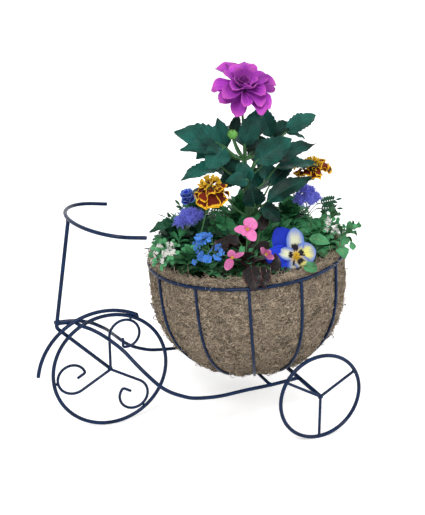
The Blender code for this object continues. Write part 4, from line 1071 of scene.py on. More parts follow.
class PLANTER_OT_liner(bpy.types.Operator):
    """Coconut-fibre mat that lines the basket, with its loose and frayed fibres"""

    bl_idname = "planter.liner"
    bl_label = "Coco Liner"

    def execute(self, context):
        basket = context.scene.planter_basket
        turn = 2 * pi * np.arange(288) / 288
        depths = np.concatenate([np.linspace(-basket.stand * 0.7, 0, 6)[:-1],
                                 BASKET_DEPTH * np.sin(pi / 2 * np.linspace(0, 0.995, 46))])
        outside, _ = mat_surface(basket, *np.meshgrid(turn, depths))
        # Over the edge.
        edge_lift = 0.0024 * ripple(turned(turn) * 0.15, 0.02, "mat edge")
        half = basket.thickness * 0.30
        middle = np.hypot(outside[0, :, 0], outside[0, :, 1]) - half
        over = [turned(turn, middle + half * cos(a),
                       basket.stand * (0.7 + 0.3 * sin(a)) + edge_lift * sin(a))
                for a in pi * np.linspace(0.12, 0.88, 6)]
        # Down the inside.
        heights, radii = rising(mat_lines(basket)[1])
        down = []
        for level in np.linspace(basket.stand * 0.6, -BASKET_DEPTH * 0.9, 24):
            uneven = ripple(turned(turn, 1.0, level * 8) * 0.1, 0.03, "mat inside")
            down.append(turned(turn, np.interp(level, heights, radii) + 0.0008 * uneven, level))
        # Under the floor.
        under = outside[-1] * (0.62, 0.62, 1)
        under[:, 2] = under[:, 2].max()
        under = [under, outside[-1] * (0.85, 0.85, 1)]
        rings = np.concatenate([under, outside[::-1], over, down])
        # Low tints keep most of the mat in the dark fibre colour, which is painted shade between
        # the strands.
        tint = 0.20 + 0.14 * ripple(rings, 0.03, "mat tint")
        tint = tint + 0.12 * ripple(rings, 0.005, "mat fleck")
        shape = Shape()
        shape.tube(rings, np.clip(tint, 0, 1))
        self.add_fibres(shape, basket)
        shape.piece("coco_mat", [finish_of("coco fibre")], PLANTING_BODY, "coco_fibre",
                    "coco_liner", place=BASKET_FRAME, crease=60.0)
        return {"FINISHED"}

    def add_fibres(self, shape, basket):
        """Loose fibres that lie along the mat's side, and frayed ones on its edge."""
        chance = dice("fibres")
        number, steps = basket.fibres, 6
        turn = chance.uniform(0, 2 * pi, number)
        below = BASKET_DEPTH * (chance.uniform(-0.06, 0.93, number))
        size = np.clip(np.exp(chance.normal(-4.6, 0.35, number)), 0.004, 0.022)
        way = chance.normal(0.0, 0.75, number)
        bend = chance.normal(0.0, 0.8, number)
        lift = np.abs(chance.normal(0.0, 0.0013, number)) + 0.0002
        loose = chance.uniform(0, 1, number) < 0.05
        lift = np.where(loose, lift + chance.uniform(0.001, 0.0035, number), lift)
        along = np.linspace(-0.5, 0.5, steps)
        heading = way[:, None] + bend[:, None] * along
        dx = np.cumsum(np.cos(heading), 1) / steps * size[:, None]
        dz = np.cumsum(np.sin(heading), 1) / steps * size[:, None]
        radius = np.maximum(0.05, 0.14 - 0.5 * np.clip(below - 0.12, 0, 1))[:, None]
        turns = turn[:, None] + (dx - dx.mean(1, keepdims=True)) / radius
        depth = np.clip(below[:, None] + dz - dz.mean(1, keepdims=True),
                        -basket.stand * 0.9, BASKET_DEPTH * 0.985)
        point, out = mat_surface(basket, turns, depth)
        arch = 4 * (0.25 - along ** 2)
        lift = lift * (0.25 + 0.75 * rib_distance(basket, turn))
        ends = chance.uniform(-0.2, 1.0, number)[:, None] * (along + 0.5)
        point = point + out * (lift[:, None] * (0.35 + arch + np.where(loose[:, None], ends, 0)))[
            ..., None]
        clumps = 0.20 * ripple(point[:, 3], 0.014, "clumps")
        # Pale fibres take the light fibre colour, painted light; the rest lean to the dark fibre
        # colour, painted shade.
        pale = np.where(chance.uniform(0, 1, number) < 0.40, 1.0, 0.22)
        width = basket.fibre / 2 * np.clip(np.exp(chance.normal(0, 0.35, number)), 0.5, 2.0)
        self.add_strands(shape, point, out, width,
                         np.clip(pale + chance.normal(0, 0.12, number) + clumps, 0.0, 1.0))
        number = basket.edge_fibres
        turn = chance.uniform(0, 2 * pi, number)
        start, out = mat_surface(basket, turn, -basket.stand * chance.uniform(0.2, 0.85, number))
        start = start - out * (basket.thickness * chance.uniform(0.05, 0.95, number))[:, None]
        start[:, 2] = np.where(chance.uniform(0, 1, number) < 0.6, basket.stand * 0.93, start[:, 2])
        lean = out * chance.normal(0.35, 0.75, number)[:, None]
        rise = UP * chance.uniform(-0.1, 0.9, number)[:, None]
        heading = turned(turn + pi / 2) * chance.normal(0, 1.0, number)[:, None] + lean + rise
        heading /= norm(heading, axis=1, keepdims=True)
        curl = np.cross(heading, out) * chance.normal(0, 0.7, number)[:, None]
        size = chance.uniform(0.004, 0.015, number)[:, None, None]
        step = np.linspace(0, 1, steps)[None, :, None]
        point = start[:, None] + heading[:, None] * step * size + curl[:, None] * step ** 2 * size
        point -= UP * step ** 2 * size * 0.35
        self.add_strands(shape, point, np.broadcast_to(out[:, None], point.shape),
                         basket.fibre / 2 * chance.uniform(0.4, 0.8, number),
                         np.clip(chance.normal(0.72, 0.2, number), 0.1, 1.0))

    def add_strands(self, shape, point, out, radius, tint):
        """Three-sided tapering fibres along many paths at once."""
        way = np.gradient(point, axis=1)
        way /= np.maximum(norm(way, axis=2, keepdims=True), 1e-12)
        across = np.cross(way, out)
        across /= np.maximum(norm(across, axis=2, keepdims=True), 1e-12)
        taper = np.interp(np.linspace(0, 1, point.shape[1]), (0, 0.2, 0.8, 1), (0.35, 1, 0.9, 0.3))
        rings = skin_paths(point, (radius[:, None] * taper)[..., None, None], way, across, 3)
        shape.tube(rings, np.broadcast_to(tint[:, None, None], rings.shape[:-1]))


class PLANTER_OT_soil(bpy.types.Operator):
    """Crumbly potting soil inside the liner"""

    bl_idname = "planter.soil"
    bl_label = "Potting Soil"

    def execute(self, context):
        basket = context.scene.planter_basket
        heights, radii = rising(mat_lines(basket)[1])
        radii = radii - SOIL_CLEARANCE
        turn, top = 2 * pi * np.arange(128) / 128, -basket.soil_below
        edge = np.interp(top, heights, radii)
        rows = [(0.002, top)] + [(edge * s, top) for s in np.linspace(0.04, 0.985, 26)]
        flat = len(rows)
        rows += [(np.interp(z, heights, radii), z)
                 for z in np.linspace(top - 0.003, -BASKET_DEPTH * 0.88, 16)]
        rings = np.array([turned(turn, r, z) for r, z in rows])
        crumbs = 0.0009 * ripple(rings[:flat], 0.005, "crumbs")
        rings[:flat, :, 2] += 0.0022 * ripple(rings[:flat], 0.016, "soil") + crumbs
        shape = Shape()
        shape.tube(rings[::-1], 0.5 + 0.3 * ripple(rings[::-1], 0.01, "soil tint"))
        chance = dice("soil crumbs")
        for number in range(SOIL_CRUMBS):
            out = edge * 0.94 * sqrt(chance.uniform())
            a = chance.uniform(0, 2 * pi)
            size = chance.uniform(0.0012, 0.0034) * chance.uniform(0.6, 1.2, 3)
            add_bead(shape, (out * cos(a), out * sin(a), top + 0.002), size, f"crumb{number}")
        shape.piece("soil_surface", [finish_of("potting soil")], PLANTING_BODY, "soil",
                    "potting_soil", place=BASKET_FRAME, crease=70.0)
        return {"FINISHED"}


# Plants, in the basket's frame from the ring's centre, +X towards the rear axle.

PLANT_HEIGHT = 285.0 * MM
SOIL_TOP = -7.0 * MM
STEM_SHARES = ((0.022, 0.0, -0.02), (0.030, 0.0, 0.30), (0.036, 0.0, 0.56), (0.040, 0.0, 0.868))
BLOOM_AIM = (0.08, -0.62, 0.80)
BUD_SHARES = (-0.042, -0.040, 0.662)
BUD_KNOT_SHARES = (0.035, 0.0, 0.515)
# Leaf's foot and tip as (across, back, up) shares of the plant height, its half width as a share
# of its own length, and how far it faces the near side.
LEAF_SHARES = (
    ((0.025, -0.028, 0.593), (0.110, -0.042, 0.778), 0.26, 0.8),
    ((0.207, 0.035, 0.597), (0.164, 0.070, 0.784), 0.24, 0.7),
    ((0.294, 0.028, 0.613), (0.489, 0.053, 0.672), 0.24, 0.6),
    ((0.285, 0.018, 0.613), (0.406, 0.028, 0.558), 0.16, 0.4),
    ((0.058, -0.077, 0.510), (0.262, -0.105, 0.608), 0.30, 0.8),
    ((0.120, -0.040, 0.480), (0.422, -0.053, 0.545), 0.17, 0.5),
    ((0.164, 0.000, 0.345), (0.346, 0.035, 0.453), 0.20, 0.6),
    ((0.200, -0.018, 0.440), (0.467, 0.000, 0.407), 0.15, 0.4),
    ((0.094, -0.100, 0.291), (0.350, -0.140, 0.390), 0.19, 0.5),
    ((0.027, -0.105, 0.284), (0.007, -0.119, 0.407), 0.48, 0.9),
    ((-0.052, 0.030, 0.584), (-0.085, 0.045, 0.746), 0.24, 0.8),
    ((-0.003, 0.042, 0.629), (0.036, 0.056, 0.746), 0.25, 0.6),
    ((-0.081, 0.000, 0.606), (-0.335, 0.018, 0.711), 0.27, 0.7),
    ((-0.105, -0.035, 0.592), (-0.335, -0.049, 0.633), 0.22, 0.5),
    ((-0.100, -0.063, 0.610), (-0.224, -0.105, 0.528), 0.42, 0.8),
    ((-0.128, -0.042, 0.511), (-0.353, -0.070, 0.484), 0.19, 0.5),
    ((-0.002, -0.105, 0.431), (-0.138, -0.133, 0.452), 0.30, 0.7),
    ((-0.014, -0.088, 0.530), (-0.041, -0.105, 0.435), 0.34, 0.8),
    ((0.073, -0.070, 0.273), (0.176, -0.098, 0.172), 0.30, 0.7),
    ((-0.120, -0.018, 0.630), (-0.247, -0.028, 0.568), 0.34, 0.6),
    ((0.223, 0.053, 0.594), (0.341, 0.070, 0.656), 0.33, 0.6),
    ((0.061, 0.035, 0.555), (0.191, 0.053, 0.590), 0.34, 0.5),
    ((0.102, 0.000, 0.482), (0.202, 0.014, 0.375), 0.34, 0.7),
    ((-0.002, 0.018, 0.540), (-0.072, 0.035, 0.445), 0.36, 0.7),
    ((0.024, -0.035, 0.500), (-0.015, -0.049, 0.370), 0.36, 0.8),
    ((0.060, 0.020, 0.460), (0.120, 0.040, 0.330), 0.36, 0.7),
    ((0.010, 0.020, 0.430), (-0.110, 0.060, 0.370), 0.32, 0.6),
    ((0.050, 0.060, 0.400), (-0.150, 0.120, 0.480), 0.28, 0.3),
    ((0.080, 0.090, 0.560), (0.060, 0.300, 0.640), 0.28, 0.0),
    ((-0.040, 0.080, 0.500), (-0.200, 0.260, 0.560), 0.28, 0.0),
    ((0.120, 0.080, 0.470), (0.300, 0.240, 0.530), 0.28, 0.0),
    ((0.030, 0.090, 0.360), (0.000, 0.310, 0.420), 0.30, 0.0),
    ((0.100, 0.060, 0.300), (0.260, 0.200, 0.330), 0.30, 0.0),
    ((-0.060, 0.060, 0.300), (-0.260, 0.190, 0.330), 0.30, 0.0),
    ((0.150, 0.060, 0.610), (0.240, 0.190, 0.690), 0.28, 0.1),
    ((-0.060, 0.060, 0.600), (-0.160, 0.170, 0.690), 0.28, 0.1),
)
STEM_KNOTS = (0.20, 0.32, 0.42, 0.51)
# Petals in a ring, their length as a share of the bloom's radius, rise in degrees, half width as
# a share of the length, curl and tint.
BLOOM_RINGS = (
    (9, 1.00, 0, 0.25, 0.50, 0.60), (8, 0.92, 14, 0.26, 0.35, 0.66),
    (7, 0.76, 32, 0.29, 0.10, 0.62), (5, 0.54, 52, 0.35, -0.20, 0.45),
    (4, 0.30, 70, 0.42, -0.80, 0.08),
)
# Name, kind, tuft, head's place as shares of the plant height and the way it faces.
FLOWER_SHARES = (
    ("marigold_left", "marigold", "alyssum_tuft_left", (-0.243, -0.193, 0.450),
     (-0.05, -0.30, 0.95)),
    ("alyssum_left", "alyssum", "alyssum_tuft_left", (-0.532, -0.240, 0.178), (-0.5, -0.4, 0.8)),
    ("lobelia_blooms", "lobelia", "begonia_tuft", (-0.358, -0.322, 0.194), (-0.4, -0.7, 0.6)),
    ("begonia_upper", "begonia", "begonia_tuft", (-0.128, -0.351, 0.256), (-0.3, -0.85, 0.4)),
    ("begonia_left", "begonia", "begonia_tuft", (-0.262, -0.455, 0.167), (-0.3, -0.85, 0.4)),
    ("begonia_right", "begonia", "begonia_tuft", (-0.088, -0.465, 0.150), (0.1, -0.85, 0.5)),
    ("pansy_bloom", "pansy", "pansy_tuft", (0.090, -0.435, 0.094), (-0.25, -0.85, 0.42)),
    ("alyssum_right", "alyssum", "alyssum_tuft_right", (0.432, -0.190, 0.105), (0.3, -0.6, 0.7)),
    ("ageratum_right", "ageratum", "alyssum_tuft_right", (0.350, -0.070, 0.266), (0.1, -0.6, 0.8)),
    ("marigold_right", "marigold", "ageratum_tuft_right", (0.452, 0.050, 0.380),
     (-0.05, -0.12, 0.99)),
    ("ageratum_left", "ageratum", "ageratum_tuft_left", (-0.296, 0.030, 0.246), (-0.2, -0.6, 0.8)),
    ("viola_bud", "viola", "ageratum_tuft_left", (-0.272, 0.080, 0.343), (-0.3, -0.3, 0.9)),
)
# Name, rise above the mat's edge and lean outwards, as shares of the tufts' rise and overhang.
TUFT_SHARES = (
    ("alyssum_tuft_left", 0.42, 1.00), ("begonia_tuft", 0.50, 0.90), ("pansy_tuft", 0.22, 0.30),
    ("alyssum_tuft_right", 0.13, 0.90), ("ageratum_tuft_right", 0.80, 0.80),
    ("grass_tuft_right", 0.92, 0.60), ("grass_tuft_left", 1.00, 0.60),
    ("ageratum_tuft_left", 0.92, 0.80),
)
TUFT_RING_RADIUS = 96.0 * MM
TUFT_OVERHANG = 17.0 * MM
TUFT_RISE = 40.0 * MM
TUFT_RADIUS = 35.0 * MM
EDGE_TOP = 13.3 * MM
LEAF_THICKNESS = 0.4 * MM


def planted(shares):
    """Shares of the plant height as lengths."""
    return np.array(shares) * PLANT_HEIGHT


def tuft_turn(number):
    return radians(-157.5) + 2 * pi * number / len(TUFT_SHARES)


def tuft_place(tuft, rise_share, lean_share):
    """A point on a tuft's middle line, above the mat's edge and out over it."""
    number = [row[0] for row in TUFT_SHARES].index(tuft)
    _, rise, lean = TUFT_SHARES[number]
    return turned(tuft_turn(number), TUFT_RING_RADIUS + TUFT_OVERHANG * lean * lean_share,
                  EDGE_TOP + TUFT_RISE * rise * rise_share)


def plant_piece(shape, name, finishes, slot, *nodes):
    shape.piece(name, [finish_of(f) for f in finishes], PLANTING_BODY, slot, *nodes,
                place=BASKET_FRAME)


def leaf_between(shape, foot, tip, half_share, up, thickness, tint, slot=0, **form):
    """A leaf whose tip and foot lie at two points."""
    size = norm(tip - foot)
    shape.sheet(put(blade(size, size * half_share, **form), seat(foot, tip - foot, up)), thickness,
                tint, slot)


class PLANTER_OT_dahlia_plant(bpy.types.Operator):
    """Dahlia's stem, leaf stalks and toothed leaves"""

    bl_idname = "planter.dahlia_plant"
    bl_label = "Dahlia Plant"

    def execute(self, context):
        dahlia = context.scene.planter_dahlia
        chance, stem, leaves = dice("dahlia leaves"), Shape(), Shape()
        spine = smooth_path([planted(s) for s in STEM_SHARES], 8)
        run = np.linspace(0, 1, len(spine))
        widths = np.interp(run, (0, 0.45, 0.68, 0.76, 1), (0.90, 0.86, 0.72, 0.50, 0.44))
        widths = widths * (1 + 0.16 * np.exp(-((run * 9) % 1.0 - 0.5) ** 2 * 60))
        stem.tube(rings_on(spine, dahlia.stem / 2 * widths, 14), 0.35)
        for foot, tip, half, near in LEAF_SHARES:
            level = max([k for k in STEM_KNOTS if k < foot[2] - 0.03] or [STEM_KNOTS[0]])
            middle = np.interp(level, *zip(*[(s[2], s[0]) for s in STEM_SHARES]))
            foot, tip, knot = planted(foot), planted(tip), planted((middle, 0, level))
            bow = knot * 0.45 + foot * 0.55 - UP * 0.10 * norm(foot - knot)
            stalk = smooth_path([knot, bow, foot, foot + (tip - foot) * 0.22], 5)
            taper = np.linspace(1.2, 0.5, len(stalk)) * dahlia.petiole / 2
            stem.tube(rings_on(stalk, taper, 8), 0.4)
            tint = chance.uniform(0.05, 0.85)
            side = unit((-0.35 * near, -near, 1.0 - 0.75 * near))
            leaf_between(leaves, foot, tip, half, side, 0.0007, tint, outline="ovate", across=12,
                         fold=0.20, curl=-chance.uniform(0.45, 0.85), cup=0.10, ruffle=0.024,
                         waves=2.6, teeth=0.20, phase=chance.uniform(0, 6))
        bud, knot = planted(BUD_SHARES), planted(BUD_KNOT_SHARES)
        under = bud - UP * dahlia.bud_radius
        line = smooth_path([knot, (knot + under) / 2 + (-0.002, 0, -0.004), under], 8)
        stem.tube(rings_on(line, np.linspace(1.1, 0.8, len(line)) * dahlia.petiole / 2, 10), 0.5)
        sepals = face_on(np.array(tuple(spine[-1])), BLOOM_AIM)
        for k in range(9):
            out = turned(2 * pi * k / 9, 1.0, 0.18)
            grid = blade(0.016, 0.0045, "lance", along=6, across=4, curl=-0.8)
            leaves.sheet(put(put(grid, seat(out * 0.003, out)), sepals), 0.0005, 0.8)
        for shape, name, finish in ((stem, "dahlia_stems", "green stem"),
                                    (leaves, "dahlia_leaves", "dahlia leaf")):
            plant_piece(shape, name, [finish], "dahlia_leaf", "dahlia_plant")
        return {"FINISHED"}


class PLANTER_OT_dahlia_bloom(bpy.types.Operator):
    """Dahlia's double bloom in rings of pointed petals"""

    bl_idname = "planter.dahlia_bloom"
    bl_label = "Dahlia Bloom"

    def execute(self, context):
        radius = context.scene.planter_dahlia.bloom_radius
        chance, shape = dice("bloom"), Shape()
        head = face_on(planted(STEM_SHARES[-1]) + unit(BLOOM_AIM) * 0.004, BLOOM_AIM)
        fall = head[0].T @ -UP
        for level, (number, size, rise, half, curl, tint) in enumerate(BLOOM_RINGS):
            for k in range(number):
                a = 2 * pi * (k + 0.5 * (level % 2)) / number + chance.normal(0, 0.09)
                lift = radians(rise + chance.normal(0, 8.0))
                out, way, up = tilted(a, lift)
                way = unit(way + fall * 0.20 * size * max(0.0, cos(lift)))
                up = up + np.cross(way, up) * chance.normal(0, 0.30)
                long_ = radius * size * chance.uniform(0.90, 1.05)
                grid = blade(long_, long_ * half * chance.uniform(0.92, 1.12), "strap", along=16,
                             across=10, fold=0.06, cup=chance.uniform(0.25, 0.75),
                             curl=-curl + chance.normal(0, 0.3), ruffle=0.035, waves=1.7,
                             phase=chance.uniform(0, 6))
                foot = out * 0.0035 + UP * radius * (0.08 + 0.030 * level)
                shape.sheet(put(grid, inside(seat(foot, way, up), head)), 0.00045,
                            np.clip(tint + chance.normal(0, 0.2), 0, 1))
        rows = np.linspace(0, 1, 8)
        cone = [put(UP * radius * (0.02 + 0.24 * r), head) for r in rows]
        shape.tube(rings_on(cone, radius * 0.12 * np.sqrt(np.clip(1.02 - rows ** 2, 0.02, 1)), 14),
                   0.02)
        plant_piece(shape, "dahlia_petals", ["dahlia petal"], "dahlia_petal", "dahlia_bloom")
        return {"FINISHED"}


class PLANTER_OT_dahlia_bud(bpy.types.Operator):
    """Round green bud wrapped in overlapping bracts"""

    bl_idname = "planter.dahlia_bud"
    bl_label = "Dahlia Bud"

    def execute(self, context):
        radius, centre = context.scene.planter_dahlia.bud_radius, planted(BUD_SHARES)
        shape = Shape()
        shape.tube(globe(-0.47, 0.47, 12, 20) * radius * 0.80 + centre, 0.45)
        u, v = np.linspace(0, 1, 9)[:, None], np.linspace(-1, 1, 7)[None, :]
        wide = 0.62 * np.interp(u, *zip(*OUTLINES["petal"]))
        tiers = ((6, -72, 1.55), (6, -38, 1.45), (5, 4, 1.05))
        for level, (number, start, size) in enumerate(tiers):
            high = radians(start) + u * size
            far = radius * (0.90 + 0.03 * level + 0.30 * u ** 3)
            for k in range(number):
                side = 2 * pi * (k + 0.5 * level) / number + v * wide / np.maximum(
                    np.cos(np.minimum(high, 1.35)), 0.35) * 0.72
                grid = turned(side, far * np.cos(high), far * np.sin(high))
                shape.sheet(grid + centre, 0.0005, 0.55 + 0.12 * level)
        plant_piece(shape, "dahlia_bud_bracts", ["bud"], "bud_green", "dahlia_bud")
        return {"FINISHED"}


def dome_places(number, spread):
    """Directions spread evenly over a dome round +Z."""
    k = np.arange(number) + 0.5
    high = np.arccos(1 - k / number * spread)
    return turned(pi * (1 + 5 ** 0.5) * k, np.sin(high), np.cos(high))


def add_stalk(shape, tuft, head, aim):
    """A stalk from a tuft's foot to the back of a flower head."""
    foot, top = tuft_place(tuft, 0, 0), tuft_place(tuft, 0.5, 0.5)
    foot[2] = SOIL_TOP
    knee = top * 0.5 + head * 0.5
    knee[2] = min(knee[2], head[2] - 0.006)
    path = [foot, top * 0.8 + head * 0.2, knee, head - unit(aim) * 0.004, head]
    shape.tube(strand(path, 0.0013, 8), 0.5, 1)


def add_flower(shape, place, petals, slot, thickness):
    """Petals set round a place: (turn, length, half width, rise, form, tint)."""
    for turn, size, half, rise, form, tint in petals:
        out, way, up = tilted(turn, rise)
        petal = inside(seat(out * size * 0.06, way, up), place)
        shape.sheet(put(blade(size, half, **form), petal), thickness, tint, slot)


def add_eye(shape, place, size, rise, slot, tint=0.6, name="eye"):
    """A small bumpy dome in a flower's middle."""
    ball = globe(0.0, 0.46, 5, 9) * (size, size, rise)
    lumps = 1 + 0.18 * ripple(ball, size * 0.9, name)[..., None]
    shape.tube(put(ball * lumps, place), tint, slot)


def marigold_head(shape, place, radius, chance, _):
    """Ruffled rimmed petals that hang round a yellow crest, less so on a flat head."""
    droop = 1.0 if place[1][0] < 0 else 0.1
    for level, (number, size, rise, half) in enumerate(
            ((7, 1.00, -54, 0.36), (6, 0.86, -28, 0.40), (6, 0.64, 4, 0.42))):
        for k in range(number):
            turn = 2 * pi * (k + 0.5 * (level % 2)) / number + chance.normal(0, 0.12)
            lift = radians(max(rise, rise * droop) + chance.normal(0, 12))
            out, way, up = tilted(turn, lift)
            up = up + np.cross(way, up) * chance.normal(0, 0.35)
            long_ = radius * size * chance.uniform(0.85, 1.1)
            grid = blade(long_, long_ * half, "fan", along=12, across=12,
                         cup=chance.uniform(-0.5, 0.1), curl=-0.6, ruffle=0.15, waves=1.6,
                         phase=chance.uniform(0, 6))
            foot = out * radius * 0.10 + UP * radius * 0.07 * level
            shape.sheet(put(grid, inside(seat(foot, way, up), place)), LEAF_THICKNESS,
                        np.clip(0.4 + chance.normal(0, 0.2), 0, 1))
    for spot in dome_places(44, 0.9):
        middle = spot * radius * (0.36, 0.36, 0.34) + UP * radius * 0.12
        way = unit(spot + chance.normal(0, 0.3, 3))
        grid = blade(radius * 0.24, radius * 0.085, "fan", along=5, across=5, cup=0.9, curl=-0.7,
                     ruffle=0.1, phase=chance.uniform(0, 6))
        crest = inside(seat(middle, way, chance.normal(size=3)), place)
        shape.sheet(put(grid, crest), LEAF_THICKNESS, chance.uniform(0.2, 1.0), 2)
    back = [put(UP * -radius * d, place) for d in (0.62, 0.50, 0.30, 0.10, -0.1)]
    shape.tube(rings_on(back, radius * np.array([0.09, 0.15, 0.18, 0.18, 0.24]), 12), 0.4, 1)


# Fluffy balls of one head: across, back, up and size as shares of its radius.
FLUFF_SHARES = ((-0.60, 0.00, -0.12, 0.46), (0.08, -0.20, 0.02, 0.50), (-0.12, 0.42, 0.28, 0.42),
                (0.66, 0.00, -0.08, 0.42), (0.34, 0.46, 0.10, 0.40))
THREAD_RADIUS = 0.36 * MM
TINY_FORM = dict(outline="spoon", along=5, across=4, cup=0.2, curl=-0.3)
# Petals of a lobelia: turn, length and half width.
LOBELIA_PETALS = ((-90, 1.1, 0.46), (-32, 1.0, 0.42), (212, 1.0, 0.42), (58, 0.7, 0.24),
                  (122, 0.7, 0.24))


def ageratum_head(shape, place, radius, chance, _):
    """Fluffy balls of soft threads, close together, lower on the nearer head."""
    low = (1.0, 0.6, 0.8) if place[1][0] < 0 else (1.0, 1.0, 1.0)
    for *shift, share in FLUFF_SHARES:
        wide = radius * share
        for spot in dome_places(9, 1.2):
            middle = (np.array(shift) * radius + spot * wide * (0.6, 0.6, 0.5)) * low
            add_eye(shape, inside(face_on(middle, spot), place), wide * 0.40, wide * 0.40, 0, 0.3,
                    "core")
            add_threads(shape, place, middle, spot, wide, chance)


def add_threads(shape, place, middle, spot, wide, chance, number=34):
    """Short soft threads that stand out round one floret."""
    ways = chance.normal(size=(number, 3)) + spot * 1.2
    ways /= norm(ways, axis=1, keepdims=True)
    size = wide * chance.uniform(0.5, 0.78, number)[:, None, None]
    step = np.linspace(0.1, 1, 4)[None, :, None]
    bend = chance.normal(0, 0.25, (number, 3))[:, None]
    path = put(middle + (ways[:, None] * step + bend * step ** 2) * size, place)
    way = np.gradient(path, axis=1)
    way /= norm(way, axis=2, keepdims=True)
    across = np.cross(way, unit((0.3, 0.5, 0.8)))
    across /= norm(across, axis=2, keepdims=True)
    thick = np.array([0.9, 1.1, 1.0, 0.7])[None, :, None, None] * THREAD_RADIUS
    rings = skin_paths(path, thick, way, across, 3)
    tint = np.clip(np.linspace(0.4, 0.95, 4)[None, :, None]
                   + chance.normal(0, 0.12, number)[:, None, None], 0, 1)
    shape.tube(rings, np.broadcast_to(tint, rings.shape[:-1]), 0)


def viola_head(shape, place, radius, chance, _):
    """Two half-open deep blue blossoms, one above the other."""
    for height, size in ((0.35, 1.0), (-0.95, 1.1)):
        for tier, (number, rise, wide) in enumerate(((5, 24, 0.50), (5, 48, 0.46), (4, 68, 0.42))):
            petals = []
            for k in range(number):
                turn = 2 * pi * (k + 0.5 * tier) / number + chance.normal(0, 0.1)
                long_ = radius * size * (1.12 - 0.08 * tier)
                form = dict(outline="fan", along=8, across=7, cup=0.5, curl=-0.5, ruffle=0.05,
                            phase=chance.uniform(0, 6))
                petals.append((turn, long_, long_ * wide, radians(rise + chance.normal(0, 5)), form,
                               0.35 + 0.2 * tier))
            add_flower(shape, shifted(UP * radius * height, place), petals, 0, LEAF_THICKNESS)


def lobelia_cluster(shape, place, radius, chance, _):
    """Loose cluster of small blue flowers with two narrow and three broad petals."""
    for _ in range(28):
        spot = chance.uniform(-1, 1, 3) * (1.0, 0.9, 0.30) * radius
        aim = unit(UP * 0.9 + chance.normal(0, 0.5, 3) + spot / radius * 0.3)
        flower = inside(face_on(spot, aim, chance.normal(size=3)), place)
        size, tint = 0.0058 * chance.uniform(0.7, 1.25), chance.uniform(0.2, 0.95)
        petals = [(radians(turn), size * long_, size * half, 0.25, TINY_FORM, tint)
                  for turn, long_, half in LOBELIA_PETALS]
        add_flower(shape, flower, petals, 0, 0.0003)
        add_eye(shape, flower, 0.0008, 0.0008, 1)
        back = put(UP * -0.0005, flower)
        root = put(spot * 0.35 - UP * radius * 0.9, place)
        shape.tube(strand([root, (root + back) / 2 + UP * 0.001, back], 0.0005), 0.5, 1)


def alyssum_cluster(shape, place, radius, chance, _):
    """Scattered knots of tiny four-petal florets among small leaves."""
    for spot in dome_places(7, 1.1):
        knot = spot * (1.0, 1.0, 0.35) * radius * chance.uniform(0.6, 1.0)
        wide = radius * chance.uniform(0.14, 0.26)
        base = put(knot - UP * radius * 0.5, place)
        for out in dome_places(int(chance.uniform(4, 9)), 0.9):
            point = knot + out * (1, 1, 0.6) * wide + chance.normal(0, 0.0007, 3)
            flower = inside(face_on(point, out + chance.normal(0, 0.3, 3), chance.normal(size=3)),
                            place)
            size, tint = 0.0031 * chance.uniform(0.8, 1.15), chance.uniform(0.6, 1.0)
            form = dict(TINY_FORM, outline="round")
            add_flower(shape, flower, [(pi / 2 * k, size, size * 0.5, 0.25, form, tint)
                                       for k in range(4)], 0, 0.0003)
            add_eye(shape, flower, size * 0.2, size * 0.2, 2)
            tip = put(point, place)
            shape.tube(strand([base, base * 0.5 + tip * 0.5, tip], 0.0004), 0.6, 1)
    for spot in dome_places(26, 1.15):
        foot = spot * (0.75, 0.75, 0.2) * radius
        way = unit(spot + chance.normal(0, 0.35, 3))
        grid = blade(radius * 0.55, radius * 0.15, "spoon", along=6, across=4, fold=0.15, curl=-0.6)
        shape.sheet(put(grid, inside(seat(foot, way), place)), LEAF_THICKNESS,
                    chance.uniform(0.5, 1.0), 5)


# Petals of the open flowers: turn, length and half width as shares of the flower's radius, layers
# behind the front, rise in degrees, finish and tint.
PETAL_ROWS = {
    "pansy_bloom": ((112, 1.36, 0.56, 4, 2, 0, 0.40), (168, 1.26, 0.50, 3, 4, 0, 0.60),
                    (205, 1.02, 0.34, 3.6, 2, 0, 0.8), (152, 0.74, 0.28, 2, 5, 3, 0.9),
                    (80, 1.14, 0.38, 1.6, 4, 3, 0.5), (4, 0.82, 0.46, 0.8, 5, 4, 0.9),
                    (-64, 0.86, 0.32, 0.2, 5, 4, 0.8), (-106, 0.92, 0.31, 1.2, 6, 3, 0.4)),
    "begonia_upper": ((46, 1.00, 0.62, 2, 8, 0, 0.9), (168, 1.05, 0.34, 1, 10, 0, 0.8),
                      (215, 0.62, 0.34, 0.5, 10, 0, 0.85), (290, 1.10, 0.44, 0, 8, 0, 0.95)),
    "begonia_left": ((230, 1.15, 0.36, 1, -28, 0, 0.35), (88, 0.66, 0.34, 1, 30, 0, 0.4),
                     (8, 1.00, 0.20, 0, -6, 0, 0.3)),
    "begonia_right": ((140, 0.95, 0.30, 1, 40, 0, 0.0), (30, 0.55, 0.28, 0, 60, 0, 0.05),
                      (-60, 0.80, 0.30, 0, 40, 0, 0.0), (-150, 0.50, 0.24, 1, 55, 0, 0.0)),
}


def open_head(shape, place, radius, chance, rows):
    """Broad separate petals round an eye, the first ones at the back."""
    for turn, long_, half, back, rise, slot, tint in rows:
        form = dict(outline="round", along=14, across=14, cup=chance.uniform(-0.15, 0.25),
                    curl=-0.35, ruffle=0.025, waves=2.2, phase=chance.uniform(0, 6))
        petal = (radians(turn), radius * long_, radius * half, radians(rise), form, tint)
        add_flower(shape, shifted(UP * -back * 0.0009, place), [petal], slot, LEAF_THICKNESS)
    for spot in dome_places(9, 0.8):
        middle = spot * radius * (0.10, 0.10, 0.07) + UP * radius * 0.05
        add_eye(shape, inside(face_on(middle, spot), place), radius * 0.045, radius * 0.06, 2)


